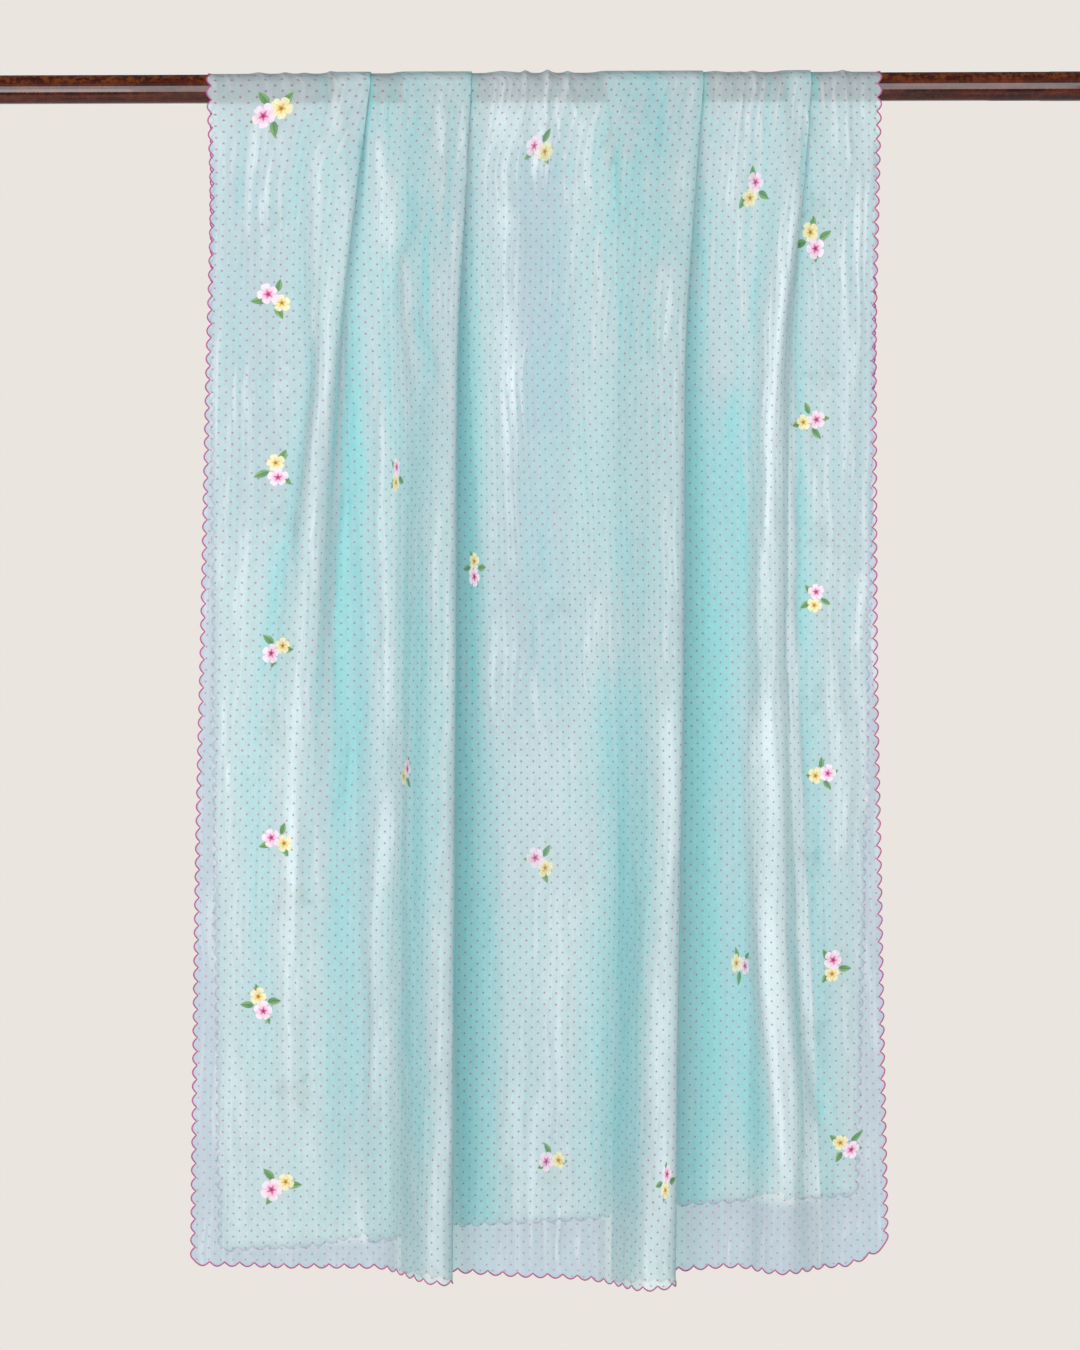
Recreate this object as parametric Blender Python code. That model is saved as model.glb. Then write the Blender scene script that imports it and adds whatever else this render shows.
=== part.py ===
"""A dupatta stole folded in half over a round wooden rod.

Metres, +Z up. The rod's axis is the X axis and the origin is at its middle, where the rod
is held. The front fall hangs on the -Y side and the back fall on the +Y side. The cloth is
one length, pleated at the rod. Each stretch of it is a thin wall of its own, made from
sections across its width: the front fall, the fold over the rod and the back fall.

Sizes in the tables are millimetres. Along a section, "out" is the distance that the cloth
stands away from the layer that lies on the rod.
"""

import math

import bmesh
import bpy
import numpy as np
from mathutils import Vector
from mathutils.geometry import delaunay_2d_cdt

MM = 0.001

# Rod
ROD_RADIUS = 15.0
ROD_LENGTH = 1200.0
ROD_SIDES = 32
ROD_END_ROUND = 2.0

# Cloth
WALL = 1.1
ROD_CLEARANCE = 0.4  # the rod to the inner face of the cloth
SEAM_GAP = 0.3  # between one stretch of cloth and the next
LAYER_STEP = 3.0  # middle of one stacked layer to the middle of the next
PLEAT = 2 * LAYER_STEP  # how far a pressed pleat's top layer stands out
TABLE_DROP = 1225.0  # the drop of a table's last row, scaled to each point's own hem

# Scalloped edge
SCALLOP_DEPTH = 4.5
SIDE_SCALLOP = 14.5
HEM_SCALLOP = 15.5
SCALLOP_STEPS = 3  # straight steps in one scallop
MARGIN = 9.0  # from the scallops' tips to the first column or last row
NEAR = 0.3  # a scallop's point this near a fold's column is left to the column

# Each fold lies over to the right. Its layers, from left to right along the cloth:
#   foot   where the cloth leaves the panel and climbs
#   crest  where it has reached the fold's full depth
#   edge   the folded edge, where it turns back under itself
#   back   the hidden turn, where it runs to the right again
#   land   where it is level with the next panel
FOLD_COLUMNS = ("drop", "foot", "crest", "edge", "back", "land", "depth")

FRONT_FOLDS = {
    "a": (
        (0, -222, -208, -172, -206, -162, PLEAT),
        (110, -250, -209, -184, -197, -163, 16),
        (300, -241, -226, -207, -203, -160, 26),
        (560, -284, -245, -229, -215, -167, 24),
        (850, -308, -280, -252, -224, -188, 9),
        (1225, -313, -286, -262, -234, -196, 3),
    ),
    "b": (
        (0, -152, -142, -68, -139, -56, PLEAT),
        (110, -152, -131, -72, -138, -54, 22),
        (300, -150, -116, -80, -139, -51, 40),
        (560, -156, -109, -82, -143, -48, 55),
        (850, -160, -113, -85, -147, -54, 60),
        (1225, -162, -115, -88, -149, -58, 62),
    ),
    "c": (
        (0, 56, 66, 171, 69, 183, PLEAT),
        (110, 62, 98, 163, 83, 187, 22),
        (300, 60, 111, 152, 76, 200, 40),
        (560, 62, 116, 149, 77, 208, 55),
        (850, 58, 110, 143, 72, 208, 65),
        (1225, 53, 100, 137, 66, 204, 72),
    ),
    "d": (
        (0, 243, 253, 282, 256, 293, PLEAT),
        (110, 232, 251, 274, 266, 298, 12),
        (300, 216, 233, 250, 260, 291, 18),
        (560, 212, 226, 242, 260, 288, 22),
        (850, 212, 230, 249, 270, 302, 27),
        (1225, 208, 234, 258, 284, 318, 32),
    ),
}

BACK_FOLDS = {
    "a": (
        FRONT_FOLDS["a"][0],
        (110, -240, -208, -182, -198, -163, 15),
        (300, -246, -218, -192, -204, -158, 26),
        (700, -238, -206, -176, -196, -136, 38),
        (1225, -232, -196, -162, -186, -124, 42),
    ),
    "b": (
        FRONT_FOLDS["b"][0],
        (110, -152, -128, -74, -135, -54, 22),
        (300, -144, -106, -70, -130, -42, 38),
        (700, -124, -80, -46, -104, -18, 54),
        (1225, -110, -62, -28, -90, 6, 60),
    ),
    "c": (
        FRONT_FOLDS["c"][0],
        (110, 62, 96, 164, 80, 188, 22),
        (300, 66, 110, 158, 78, 200, 38),
        (700, 70, 112, 152, 86, 202, 56),
        (1225, 62, 104, 146, 82, 196, 66),
    ),
    "d": (
        FRONT_FOLDS["d"][0],
        (110, 234, 250, 274, 258, 297, 14),
        (300, 224, 242, 262, 248, 294, 24),
        (700, 216, 238, 264, 252, 298, 34),
        (1225, 210, 234, 262, 250, 298, 38),
    ),
}

# The cloth's side edges
SIDE_COLUMNS = ("drop", "left", "right")
FRONT_SIDES = (
    (0, -341, 354),
    (110, -338, 351),
    (300, -343, 347),
    (560, -349, 347),
    (850, -356, 351),
    (1225, -362, 356),
)
BACK_SIDES = (
    (0, -341, 354),
    (300, -342, 350),
    (700, -341, 342),
    (1225, -337, 330),
)

# The hem's drop below the rod's axis, from the left side to the right, as (x, drop)
FRONT_HEM = ((-362, 1214), (-160, 1218), (50, 1229), (190, 1218), (306, 1218), (356, 1197))
BACK_HEM = ((-338, 1207), (-190, 1200), (-60, 1181), (70, 1174), (160, 1160), (330, 1152))

# Small gathers in one panel: place across it, and height on the rod
GATHERED_BEFORE = "c"  # the fold that the gathered panel leads to
GATHERS = ((0.09, 1.6), (0.28, 2.4), (0.47, 1.5), (0.67, 2.3), (0.88, 1.8))
GATHER_SWELL = 40.0  # they stand a little higher just under the rod ...
GATHER_FADE = 45.0  # ... and then die away over about this drop

# Where a fold's hidden layers lie, as shares of its depth, on the rod and hanging free
LAYERS_ON_ROD = {"nose": 0.5, "heel": 0.5, "toe": 0.0}
LAYERS_HANGING = {"nose": 0.55, "heel": 0.20, "toe": 0.05}
LAYERS_OPEN_BY = 280.0  # drop at which they have opened out
OPEN_SLOPE = 0.4  # how a fold that overlaps nothing eases down, as a share of edge to back

SIDE_PANEL_POINTS = 3
NARROW_PANEL_POINTS = 1
TURN_STEPS = 3  # straight steps round a folded edge
TURN_REACH = 0.45  # the most of a leg that a folded edge's rounding takes
ROUNDING = 0.35  # share of the shorter leg taken by a corner's rounding

ROW_SHARES = (0.0, 0.02, 0.05, 0.09, 0.16, 0.25, 0.36, 0.48, 0.61, 0.74, 0.87)
ROD_TURN_STEPS = 10  # steps of the cloth's half turn over the rod
INSIDE_ONLY = 1  # delaunay_2d_cdt's output: the triangles inside its faces


def smooth_between(levels, values, at):
    """A smooth curve through the table's values that never overshoots them."""
    levels = np.asarray(levels, float)
    values = np.asarray(values, float)
    steps = np.diff(levels)
    slopes = np.diff(values) / steps
    tangents = np.zeros(len(levels))
    tangents[0], tangents[-1] = slopes[0], slopes[-1]
    for i in range(1, len(levels) - 1):
        before, after = slopes[i - 1], slopes[i]
        if before * after > 0:
            tangents[i] = 2 * before * after / (before + after)
    at = min(max(at, levels[0]), levels[-1])
    i = min(int(np.searchsorted(levels, at, side="right")) - 1, len(steps) - 1)
    t = (at - levels[i]) / steps[i]
    rise = values[i + 1] - values[i]
    cubic = (3 - 2 * t) * t * t
    start = (t - 1) * (t - 1) * t * tangents[i]
    end = (t - 1) * t * t * tangents[i + 1]
    return values[i] + rise * cubic + steps[i] * (start + end)


def row_at(rows, columns, drop):
    """One row of a table, read at any drop, as a dictionary."""
    levels = [row[0] for row in rows]
    return {
        name: smooth_between(levels, [row[i] for row in rows], drop)
        for i, name in enumerate(columns)
    }


def toward(start, end, length):
    """The point this far from start on the way to end."""
    start = np.asarray(start, float)
    way = np.asarray(end, float) - start
    return start + way * (length / max(np.hypot(*way), 1e-6))


def leg(start, end):
    return math.dist(start, end)


def corner(before, at, after):
    """The two ends of the short step that rounds a corner."""
    cut = ROUNDING * min(leg(before, at), leg(at, after))
    return [toward(at, before, cut), toward(at, after, cut)]


def turn(before, outer, inner, after):
    """A folded edge: from the leg that ends at outer round to the leg that starts at inner.

    It is a cubic curve, pushed outward so that its tip reaches as far as the corners.
    """
    gap = leg(outer, inner)
    lead = min(gap, TURN_REACH * leg(before, outer))
    trail = min(gap, TURN_REACH * leg(inner, after))
    way = 1 if outer[0] > before[0] else -1
    push = np.array([way * (lead + trail) / 8, 0.0])
    controls = (
        toward(outer, before, lead) + push / 3,
        np.asarray(outer, float) + push,
        np.asarray(inner, float) + push,
        toward(inner, after, trail) + push / 3,
    )
    points = []
    for step in range(TURN_STEPS + 1):
        t = step / TURN_STEPS
        shares = ((1 - t) ** 3, 3 * t * (1 - t) ** 2, 3 * t * t * (1 - t), t**3)
        points.append(sum(share * control for share, control in zip(shares, controls)))
    return points


def fold_corners(rows, drop):
    """The corners of one fold's section, as (x, out), in order along the cloth."""
    fold = row_at(rows, FOLD_COLUMNS, drop)
    opened = min(drop / LAYERS_OPEN_BY, 1.0)
    share = {
        name: LAYERS_ON_ROD[name] * (1 - opened) + LAYERS_HANGING[name] * opened
        for name in LAYERS_ON_ROD
    }
    depth = fold["depth"]
    edge, back = fold["edge"], fold["back"]
    slope = OPEN_SLOPE * max(back - edge, 0.0)
    return [
        (fold["foot"], 0.0),
        (fold["crest"], depth),
        (edge, depth),
        (edge + slope, share["nose"] * depth),
        (back, share["heel"] * depth),
        (back + slope, share["toe"] * depth),
        (fold["land"], 0.0),
    ]


def gather_height(height, drop):
    return height * (1 + drop / GATHER_SWELL) * math.exp(-drop / GATHER_FADE)


def panel_points(start, end, count):
    """Points spread evenly inside a flat panel, without its ends."""
    return [(start + (end - start) * i / (count + 1), 0.0) for i in range(1, count + 1)]


def gathered_points(start, end, drop):
    """The panel between folds b and c, with a ridge for each gather and a trough between."""
    places = [place for place, _ in GATHERS]
    troughs = [(a + b) / 2 for a, b in zip(places, places[1:])]
    ridges = [(place, gather_height(height, drop)) for place, height in GATHERS]
    points = ridges + [(place, 0.0) for place in troughs]
    return [(start + (end - start) * place, out) for place, out in sorted(points)]


def section(folds, sides, drop):
    """The cloth's line across its width at one drop, as an array of (x, out)."""
    side = row_at(sides, SIDE_COLUMNS, drop)
    left_margin = (side["left"] + MARGIN, 0.0)
    right_margin = (side["right"] - MARGIN, 0.0)
    names = list(folds)
    corners = [fold_corners(rows, drop) for rows in folds.values()]
    next_feet = [fold[0] for fold in corners[1:]] + [right_margin]
    points = [(side["left"], 0.0), left_margin]
    for name, fold, next_foot in zip(names, corners, next_feet):
        foot, crest, outer, inner, heel, toe, land = fold
        panel_start = points[-1]
        foot_step = corner(panel_start, foot, crest)
        ends = (panel_start[0], foot_step[0][0])
        if name == GATHERED_BEFORE:
            points += gathered_points(*ends, drop)
        else:
            first = name == names[0]
            points += panel_points(*ends, SIDE_PANEL_POINTS if first else NARROW_PANEL_POINTS)
        points += foot_step
        points += corner(foot, crest, outer)
        points += turn(crest, outer, inner, heel)
        points += turn(inner, heel, toe, land)
        points += corner(toe, land, next_foot)
    points += panel_points(points[-1][0], right_margin[0], SIDE_PANEL_POINTS)
    points += [right_margin, (side["right"], 0.0)]
    return np.array([tuple(point) for point in points])


def arc_lengths(points):
    steps = np.hypot(*np.diff(points, axis=0).T)
    return np.concatenate([[0.0], np.cumsum(steps)])


def at_arc(points, arc):
    arcs = arc_lengths(points)
    return np.array([np.interp(arc, arcs, points[:, 0]), np.interp(arc, arcs, points[:, 1])])


def scallop_inset(along, pitch):
    """How far inside the scallops' tips the edge lies, with a sharp notch at each pitch."""
    return SCALLOP_DEPTH * (1 - abs(math.sin(math.pi * along / pitch)))


def scallops(length, pitch):
    """The places along an edge where its outline turns, and the fitted pitch."""
    count = max(1, round(length / pitch))
    fitted = length / count
    total = count * SCALLOP_STEPS
    return [length * i / total for i in range(total + 1)], fitted


class Sheet:
    """A triangulated sheet of cloth, built from a grid and scalloped strips round it."""

    def __init__(self):
        self.mesh = bmesh.new()

    def add(self, point):
        return self.mesh.verts.new([value * MM for value in point])

    def add_grid(self, rows):
        grid = [[self.add(point) for point in row] for row in rows]
        for upper, lower in zip(grid, grid[1:]):
            for i in range(len(upper) - 1):
                self.mesh.faces.new((upper[i], lower[i], lower[i + 1], upper[i + 1]))
        return grid

    def fill(self, outline):
        """Triangles inside a closed outline, a list of (flat place, vertex)."""
        flat = [Vector(place) for place, _ in outline]
        face = list(range(len(flat)))
        filled = delaunay_2d_cdt(flat, [], [face], INSIDE_ONLY, 1e-6)
        sources = [ids[0] for ids in filled[3]]
        for triangle in filled[2]:
            self.mesh.faces.new([outline[sources[i]][1] for i in triangle])

    def to_object(self, name, material):
        """The sheet as an object, given its wall by a Solidify modifier."""
        bmesh.ops.recalc_face_normals(self.mesh, faces=self.mesh.faces)
        bmesh.ops.triangulate(self.mesh, faces=self.mesh.faces)
        data = bpy.data.meshes.new(name)
        self.mesh.to_mesh(data)
        self.mesh.free()
        data.materials.append(material)
        data.shade_smooth()
        obj = bpy.data.objects.new(name, data)
        bpy.context.scene.collection.objects.link(obj)
        wall = obj.modifiers.new("wall", "SOLIDIFY")
        wall.thickness = WALL * MM
        wall.offset = 0.0
        wall.use_even_offset = True
        return obj


def inner_reach():
    """The rod's axis to the middle of the layer that lies on the rod."""
    return ROD_RADIUS + ROD_CLEARANCE + WALL / 2


def make_fall(name, folds, sides, hem, outward, material):
    """A hanging stretch of cloth from the rod to its scalloped hem."""
    hem_x = [row[0] for row in hem]
    hem_drop = [row[1] for row in hem]

    def place(flat, share):
        x, out = flat
        full = smooth_between(hem_x, hem_drop, x)
        z = -SEAM_GAP - share * (full - SEAM_GAP)
        return (x, outward * (inner_reach() + out), z)

    def line(share):
        return section(folds, sides, share * TABLE_DROP)

    shares = ROW_SHARES + (1 - MARGIN / TABLE_DROP,)
    sheet = Sheet()
    rows = [[place(point, share) for point in line(share)[1:-1]] for share in shares]
    grid = sheet.add_grid(rows)
    hem_line = line(1.0)
    arcs = arc_lengths(hem_line)
    width = arcs[-1]

    corner_drop = TABLE_DROP - SCALLOP_DEPTH
    side_places, side_pitch = scallops(corner_drop, SIDE_SCALLOP)
    left, right = [], []
    for drop in side_places:
        points = line(drop / TABLE_DROP)
        inset = scallop_inset(drop, side_pitch)
        here = arc_lengths(points)[-1]
        for edge, arc, flat in ((left, inset, inset), (right, here - inset, width - inset)):
            vertex = sheet.add(place(at_arc(points, arc), drop / TABLE_DROP))
            edge.append(((flat, drop), vertex))

    hem_places, hem_pitch = scallops(width - 2 * SCALLOP_DEPTH, HEM_SCALLOP)
    hem_arcs = [along + SCALLOP_DEPTH for along in hem_places[1:-1]]
    columns = list(arcs[2:-2])
    free = [arc for arc in hem_arcs if min(abs(arc - column) for column in columns) > NEAR]
    bottom = []
    for arc in sorted(free + columns):
        drop = TABLE_DROP - scallop_inset(arc - SCALLOP_DEPTH, hem_pitch)
        points = line(drop / TABLE_DROP)
        here = arc * arc_lengths(points)[-1] / width
        vertex = sheet.add(place(at_arc(points, here), drop / TABLE_DROP))
        bottom.append(((arc, drop), vertex))

    drops = [share * TABLE_DROP for share in shares]
    near_right = [((width - MARGIN, drop), row[-1]) for drop, row in zip(drops, grid)]
    last_row = [((arc, drops[-1]), vertex) for arc, vertex in zip(arcs[2:-2], grid[-1][1:-1])]
    near_left = [((MARGIN, drop), row[0]) for drop, row in zip(drops, grid)]
    outline = left + bottom + right[::-1] + near_right + last_row[::-1] + near_left[::-1]
    sheet.fill(outline)
    return sheet.to_object(name, material)


def make_top_fold(material):
    """The cloth's half turn over the rod, between the two falls."""
    points = section(FRONT_FOLDS, FRONT_SIDES, 0.0)
    length = arc_lengths(points)[-1]

    def place(flat, angle):
        x, out = flat
        reach = inner_reach() + out
        return (x, -reach * math.cos(angle), reach * math.sin(angle))

    sheet = Sheet()
    angles = [math.pi * i / ROD_TURN_STEPS for i in range(ROD_TURN_STEPS + 1)]
    grid = sheet.add_grid([[place(point, angle) for point in points[1:-1]] for angle in angles])
    places, pitch = scallops(math.pi * inner_reach(), SIDE_SCALLOP)
    for column, from_left in ((0, True), (-1, False)):
        outline = []
        for along in places:
            inset = scallop_inset(along, pitch)
            arc = inset if from_left else length - inset
            vertex = sheet.add(place(at_arc(points, arc), along / inner_reach()))
            outline.append(((inset, along), vertex))
        column_places = [(MARGIN, angle * inner_reach()) for angle in angles]
        outline += reversed(list(zip(column_places, [row[column] for row in grid])))
        sheet.fill(outline)
    return sheet.to_object("top_fold", material)


def make_rod(material):
    """The lacquered rod, a round bar with softened ends."""
    mesh = bmesh.new()
    bmesh.ops.create_cone(
        mesh,
        cap_ends=True,
        segments=ROD_SIDES,
        radius1=ROD_RADIUS * MM,
        radius2=ROD_RADIUS * MM,
        depth=ROD_LENGTH * MM,
    )
    data = bpy.data.meshes.new("rod")
    mesh.to_mesh(data)
    mesh.free()
    data.materials.append(material)
    data.shade_smooth()
    data.set_sharp_from_angle(angle=math.radians(40))
    obj = bpy.data.objects.new("rod", data)
    bpy.context.scene.collection.objects.link(obj)
    obj.rotation_euler = (0, math.radians(90), 0)
    bevel = obj.modifiers.new("softened ends", "BEVEL")
    bevel.width = ROD_END_ROUND * MM
    bevel.segments = 2
    bevel.limit_method = "ANGLE"
    bevel.angle_limit = math.radians(60)
    return obj


def make_material(name, colour, roughness, alpha=1.0):
    material = bpy.data.materials.new(name)
    material.use_nodes = True
    shader = material.node_tree.nodes["Principled BSDF"]
    shader.inputs["Base Color"].default_value = (*colour, 1.0)
    shader.inputs["Roughness"].default_value = roughness
    shader.inputs["Metallic"].default_value = 0.0
    shader.inputs["Alpha"].default_value = alpha
    return material


def clear_scene():
    for obj in list(bpy.data.objects):
        bpy.data.objects.remove(obj)


def main():
    clear_scene()
    chiffon = make_material("aqua_chiffon", (0.46, 0.68, 0.72), 0.55, 0.7)
    lacquer = make_material("lacquered_wood", (0.09, 0.03, 0.015), 0.3)
    make_rod(lacquer)
    make_top_fold(chiffon)
    make_fall("front_fall", FRONT_FOLDS, FRONT_SIDES, FRONT_HEM, -1, chiffon)
    make_fall("back_fall", BACK_FOLDS, BACK_SIDES, BACK_HEM, 1, chiffon)


main()
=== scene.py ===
"""Looks for a dupatta stole folded in half over a wooden rod.

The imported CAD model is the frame. The three stretches of cloth are replaced by thin sheets
on the same form, with softer folds and small creases. All three get a thread edging, and
the two falls get painted sprigs. The rod keeps its CAD shape.

Metres, +Z up, the rod along X, the front fall on the -Y side. Sizes in the tables are
millimetres. Along a section, "out" is the distance that the cloth stands away from the
layer that lies on the rod.
"""

import functools
import math

import bpy
import numpy as np
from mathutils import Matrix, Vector
from mathutils.geometry import delaunay_2d_cdt


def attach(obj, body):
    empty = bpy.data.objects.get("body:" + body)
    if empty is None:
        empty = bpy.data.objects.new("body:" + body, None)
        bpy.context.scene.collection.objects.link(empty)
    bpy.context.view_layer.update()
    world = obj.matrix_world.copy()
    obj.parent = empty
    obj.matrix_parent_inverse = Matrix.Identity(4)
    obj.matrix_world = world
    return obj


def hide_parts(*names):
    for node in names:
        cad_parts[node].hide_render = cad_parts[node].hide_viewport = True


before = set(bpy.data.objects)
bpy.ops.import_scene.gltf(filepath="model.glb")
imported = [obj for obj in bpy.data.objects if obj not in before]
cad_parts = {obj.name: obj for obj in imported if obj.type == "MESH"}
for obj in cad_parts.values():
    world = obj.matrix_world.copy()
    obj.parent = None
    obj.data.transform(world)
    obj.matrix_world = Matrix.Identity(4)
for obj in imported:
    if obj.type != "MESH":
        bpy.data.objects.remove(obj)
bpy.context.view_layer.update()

MM = 0.001

# Rod and cloth
ROD_RADIUS = 15.0
CLOTH_LIFT = 0.35  # rod to the cloth that lies on it
LAYER_STEP = 0.9  # stacked layers on the rod
PLEAT = 2 * LAYER_STEP
TABLE_DROP = 1225.0  # the drop of a table's last row, scaled to each point's own hem

# Scalloped edge
SCALLOP_DEPTH = 4.5
SIDE_SCALLOP = 14.5
HEM_SCALLOP = 15.5
SCALLOP_STEPS = 8
MARGIN = 9.0  # from the scallops' tips to the first column or last row
NEAR = 0.3  # a scallop's point this near a fold's column is left to the column
THREAD_RADIUS = 0.75
THREAD_SIDES = 6
THREAD_ROUND = 4  # the way round the thread on its flat map

# Each fold lies over to the right: see fold_corners
FOLD_COLUMNS = ("drop", "foot", "crest", "edge", "back", "land", "depth")

FRONT_FOLDS = {
    "a": (
        (0, -222, -208, -172, -206, -162, PLEAT),
        (110, -250, -209, -184, -197, -163, 16),
        (300, -241, -226, -207, -203, -160, 26),
        (560, -284, -245, -229, -215, -167, 24),
        (850, -308, -280, -252, -224, -188, 9),
        (1225, -313, -286, -262, -234, -196, 3),
    ),
    "b": (
        (0, -152, -142, -68, -139, -56, PLEAT),
        (110, -166, -112, -72, -138, -54, 20),
        (300, -162, -106, -80, -139, -51, 38),
        (560, -158, -107, -82, -143, -48, 54),
        (850, -160, -113, -85, -147, -54, 60),
        (1225, -162, -115, -88, -149, -58, 62),
    ),
    "c": (
        (0, 56, 66, 171, 69, 183, PLEAT),
        (110, 46, 112, 163, 83, 187, 20),
        (300, 26, 122, 152, 76, 200, 38),
        (560, 40, 122, 149, 77, 208, 54),
        (850, 58, 112, 143, 72, 208, 65),
        (1225, 53, 100, 137, 66, 204, 72),
    ),
    "d": (
        (0, 243, 253, 282, 256, 293, PLEAT),
        (110, 232, 251, 274, 266, 298, 12),
        (300, 216, 233, 250, 260, 291, 18),
        (560, 212, 226, 242, 260, 288, 22),
        (850, 212, 230, 249, 270, 302, 27),
        (1225, 208, 234, 258, 284, 318, 32),
    ),
}

BACK_FOLDS = {
    "a": (
        FRONT_FOLDS["a"][0],
        (110, -240, -208, -182, -198, -163, 15),
        (300, -246, -218, -192, -204, -158, 26),
        (700, -238, -206, -176, -196, -136, 38),
        (1225, -232, -196, -162, -186, -124, 42),
    ),
    "b": (
        FRONT_FOLDS["b"][0],
        (110, -152, -128, -74, -135, -54, 22),
        (300, -144, -106, -70, -130, -42, 38),
        (700, -124, -80, -46, -104, -18, 54),
        (1225, -110, -62, -28, -90, 6, 60),
    ),
    "c": (
        FRONT_FOLDS["c"][0],
        (110, 62, 96, 164, 80, 188, 22),
        (300, 66, 110, 158, 78, 200, 38),
        (700, 70, 112, 152, 86, 202, 56),
        (1225, 62, 104, 146, 82, 196, 66),
    ),
    "d": (
        FRONT_FOLDS["d"][0],
        (110, 234, 250, 274, 258, 297, 14),
        (300, 224, 242, 262, 248, 294, 24),
        (700, 216, 238, 264, 252, 298, 34),
        (1225, 210, 234, 262, 250, 298, 38),
    ),
}

# The cloth's side edges
SIDE_COLUMNS = ("drop", "left", "right")
FRONT_SIDES = (
    (0, -341, 354),
    (110, -338, 351),
    (300, -343, 347),
    (560, -349, 347),
    (850, -356, 351),
    (1225, -362, 356),
)
BACK_SIDES = (
    (0, -341, 354),
    (300, -342, 350),
    (700, -341, 342),
    (1225, -337, 330),
)

# The hem's drop below the rod's axis, from the left side to the right, as (x, drop)
FRONT_HEM = ((-362, 1214), (-160, 1218), (50, 1229), (190, 1218), (306, 1218), (356, 1197))
BACK_HEM = ((-338, 1207), (-190, 1200), (-60, 1181), (70, 1174), (160, 1160), (330, 1152))

# Where a fold's hidden layers lie, as shares of its depth, on the rod and hanging free
LAYERS_ON_ROD = {"nose": 0.5, "heel": 0.5, "toe": 0.0}
LAYERS_HANGING = {"nose": 0.55, "heel": 0.20, "toe": 0.05}
LAYERS_OPEN_BY = 280.0  # drop at which they have opened out
OPEN_SLOPE = 0.4  # how a fold that overlaps nothing eases down, as a share of edge to back

# Points along a section
PANEL_POINTS = 24
GATHERED_PANEL = 2  # the panel that leads to fold c
GATHER_POINTS = 52
LEG_POINTS = 9
CORNER_POINTS = 5
TURN_POINTS = 9
TURN_REACH = 0.45  # the most of a leg that a folded edge's rounding takes
ROUNDING = 0.45  # of a corner's shorter leg

# Softness: how far a section is blurred along the cloth, by drop
SOFTNESS_COLUMNS = ("drop", "blur")
SOFTNESS = ((0, 0.8), (60, 2.0), (200, 4.5), (500, 6.5), (1225, 8.0))
BLUR_STEP, BLUR_LEAST_STEPS = 1.0, 8
BLUR_REACH = 3  # of the blur, to each side

# Shades of the front's colour, painted light and shade. Each is a soft band through its path's
# places, as (x, drop), whose tone paints the colour deeper as shade, as in the folds' hollows,
# or paler below nought as a painted highlight.
SHADE_COLUMNS = ("width", "tone", "path")
FRONT_SHADES = (
    (24, 0.52, ((-183, 240), (-187, 420), (-192, 600), (-196, 780), (-201, 1000), (-206, 1190))),
    (10, 0.25, ((-175, 140), (-155, 304), (-140, 404), (-132, 520))),
    (16, 0.50, ((-133, 440), (-128, 600), (-128, 804), (-130, 1210))),
    (28, 0.40, ((107, 0), (112, 90), (121, 210))),
    (30, 0.60, ((92, 560), (80, 771), (79, 972), (84, 1200))),
    (9, 0.35, ((238, 90), (226, 190), (215, 270), (203, 360))),
    (20, 0.85, ((205, 290), (197, 450), (196, 560), (200, 700))),
    (23, 0.78, ((200, 620), (207, 804), (215, 972), (219, 1180))),
    (20, 0.48, ((164, 330), (166, 600), (172, 900), (170, 1190))),
    (14, 0.28, ((-258, 420), (-271, 520), (-280, 610), (-285, 700), (-284, 800), (-285, 900), (-283, 1080))),
    (12, 0.15, ((279, 20), (275, 137), (267, 237), (274, 387), (279, 638), (287, 1055))),
    (22, 0.25, ((-128, 0), (-122, 150), (-116, 300), (-112, 480))),
    (34, 0.20, ((75, 60), (70, 250), (72, 450), (80, 600))),
    (24, 0.20, ((180, 100), (186, 200), (184, 300))),
    (17, -0.60, ((220, 600), (222, 740), (232, 860), (245, 1010), (262, 1200))),
    (10, -0.35, ((283, 1060), (288, 1140), (290, 1220))),
    (11, -0.45, ((250, 300), (251, 480), (256, 640), (264, 800), (276, 960), (290, 1100))),
    (13, -0.32, ((131, 600), (129, 800), (124, 1000), (118, 1220))),
    (11, 0.08, ((-101, 260), (-98, 500), (-100, 800), (-103, 1220))),
    (8, -0.40, ((-166, 40), (-158, 110), (-150, 190))),
)
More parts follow.
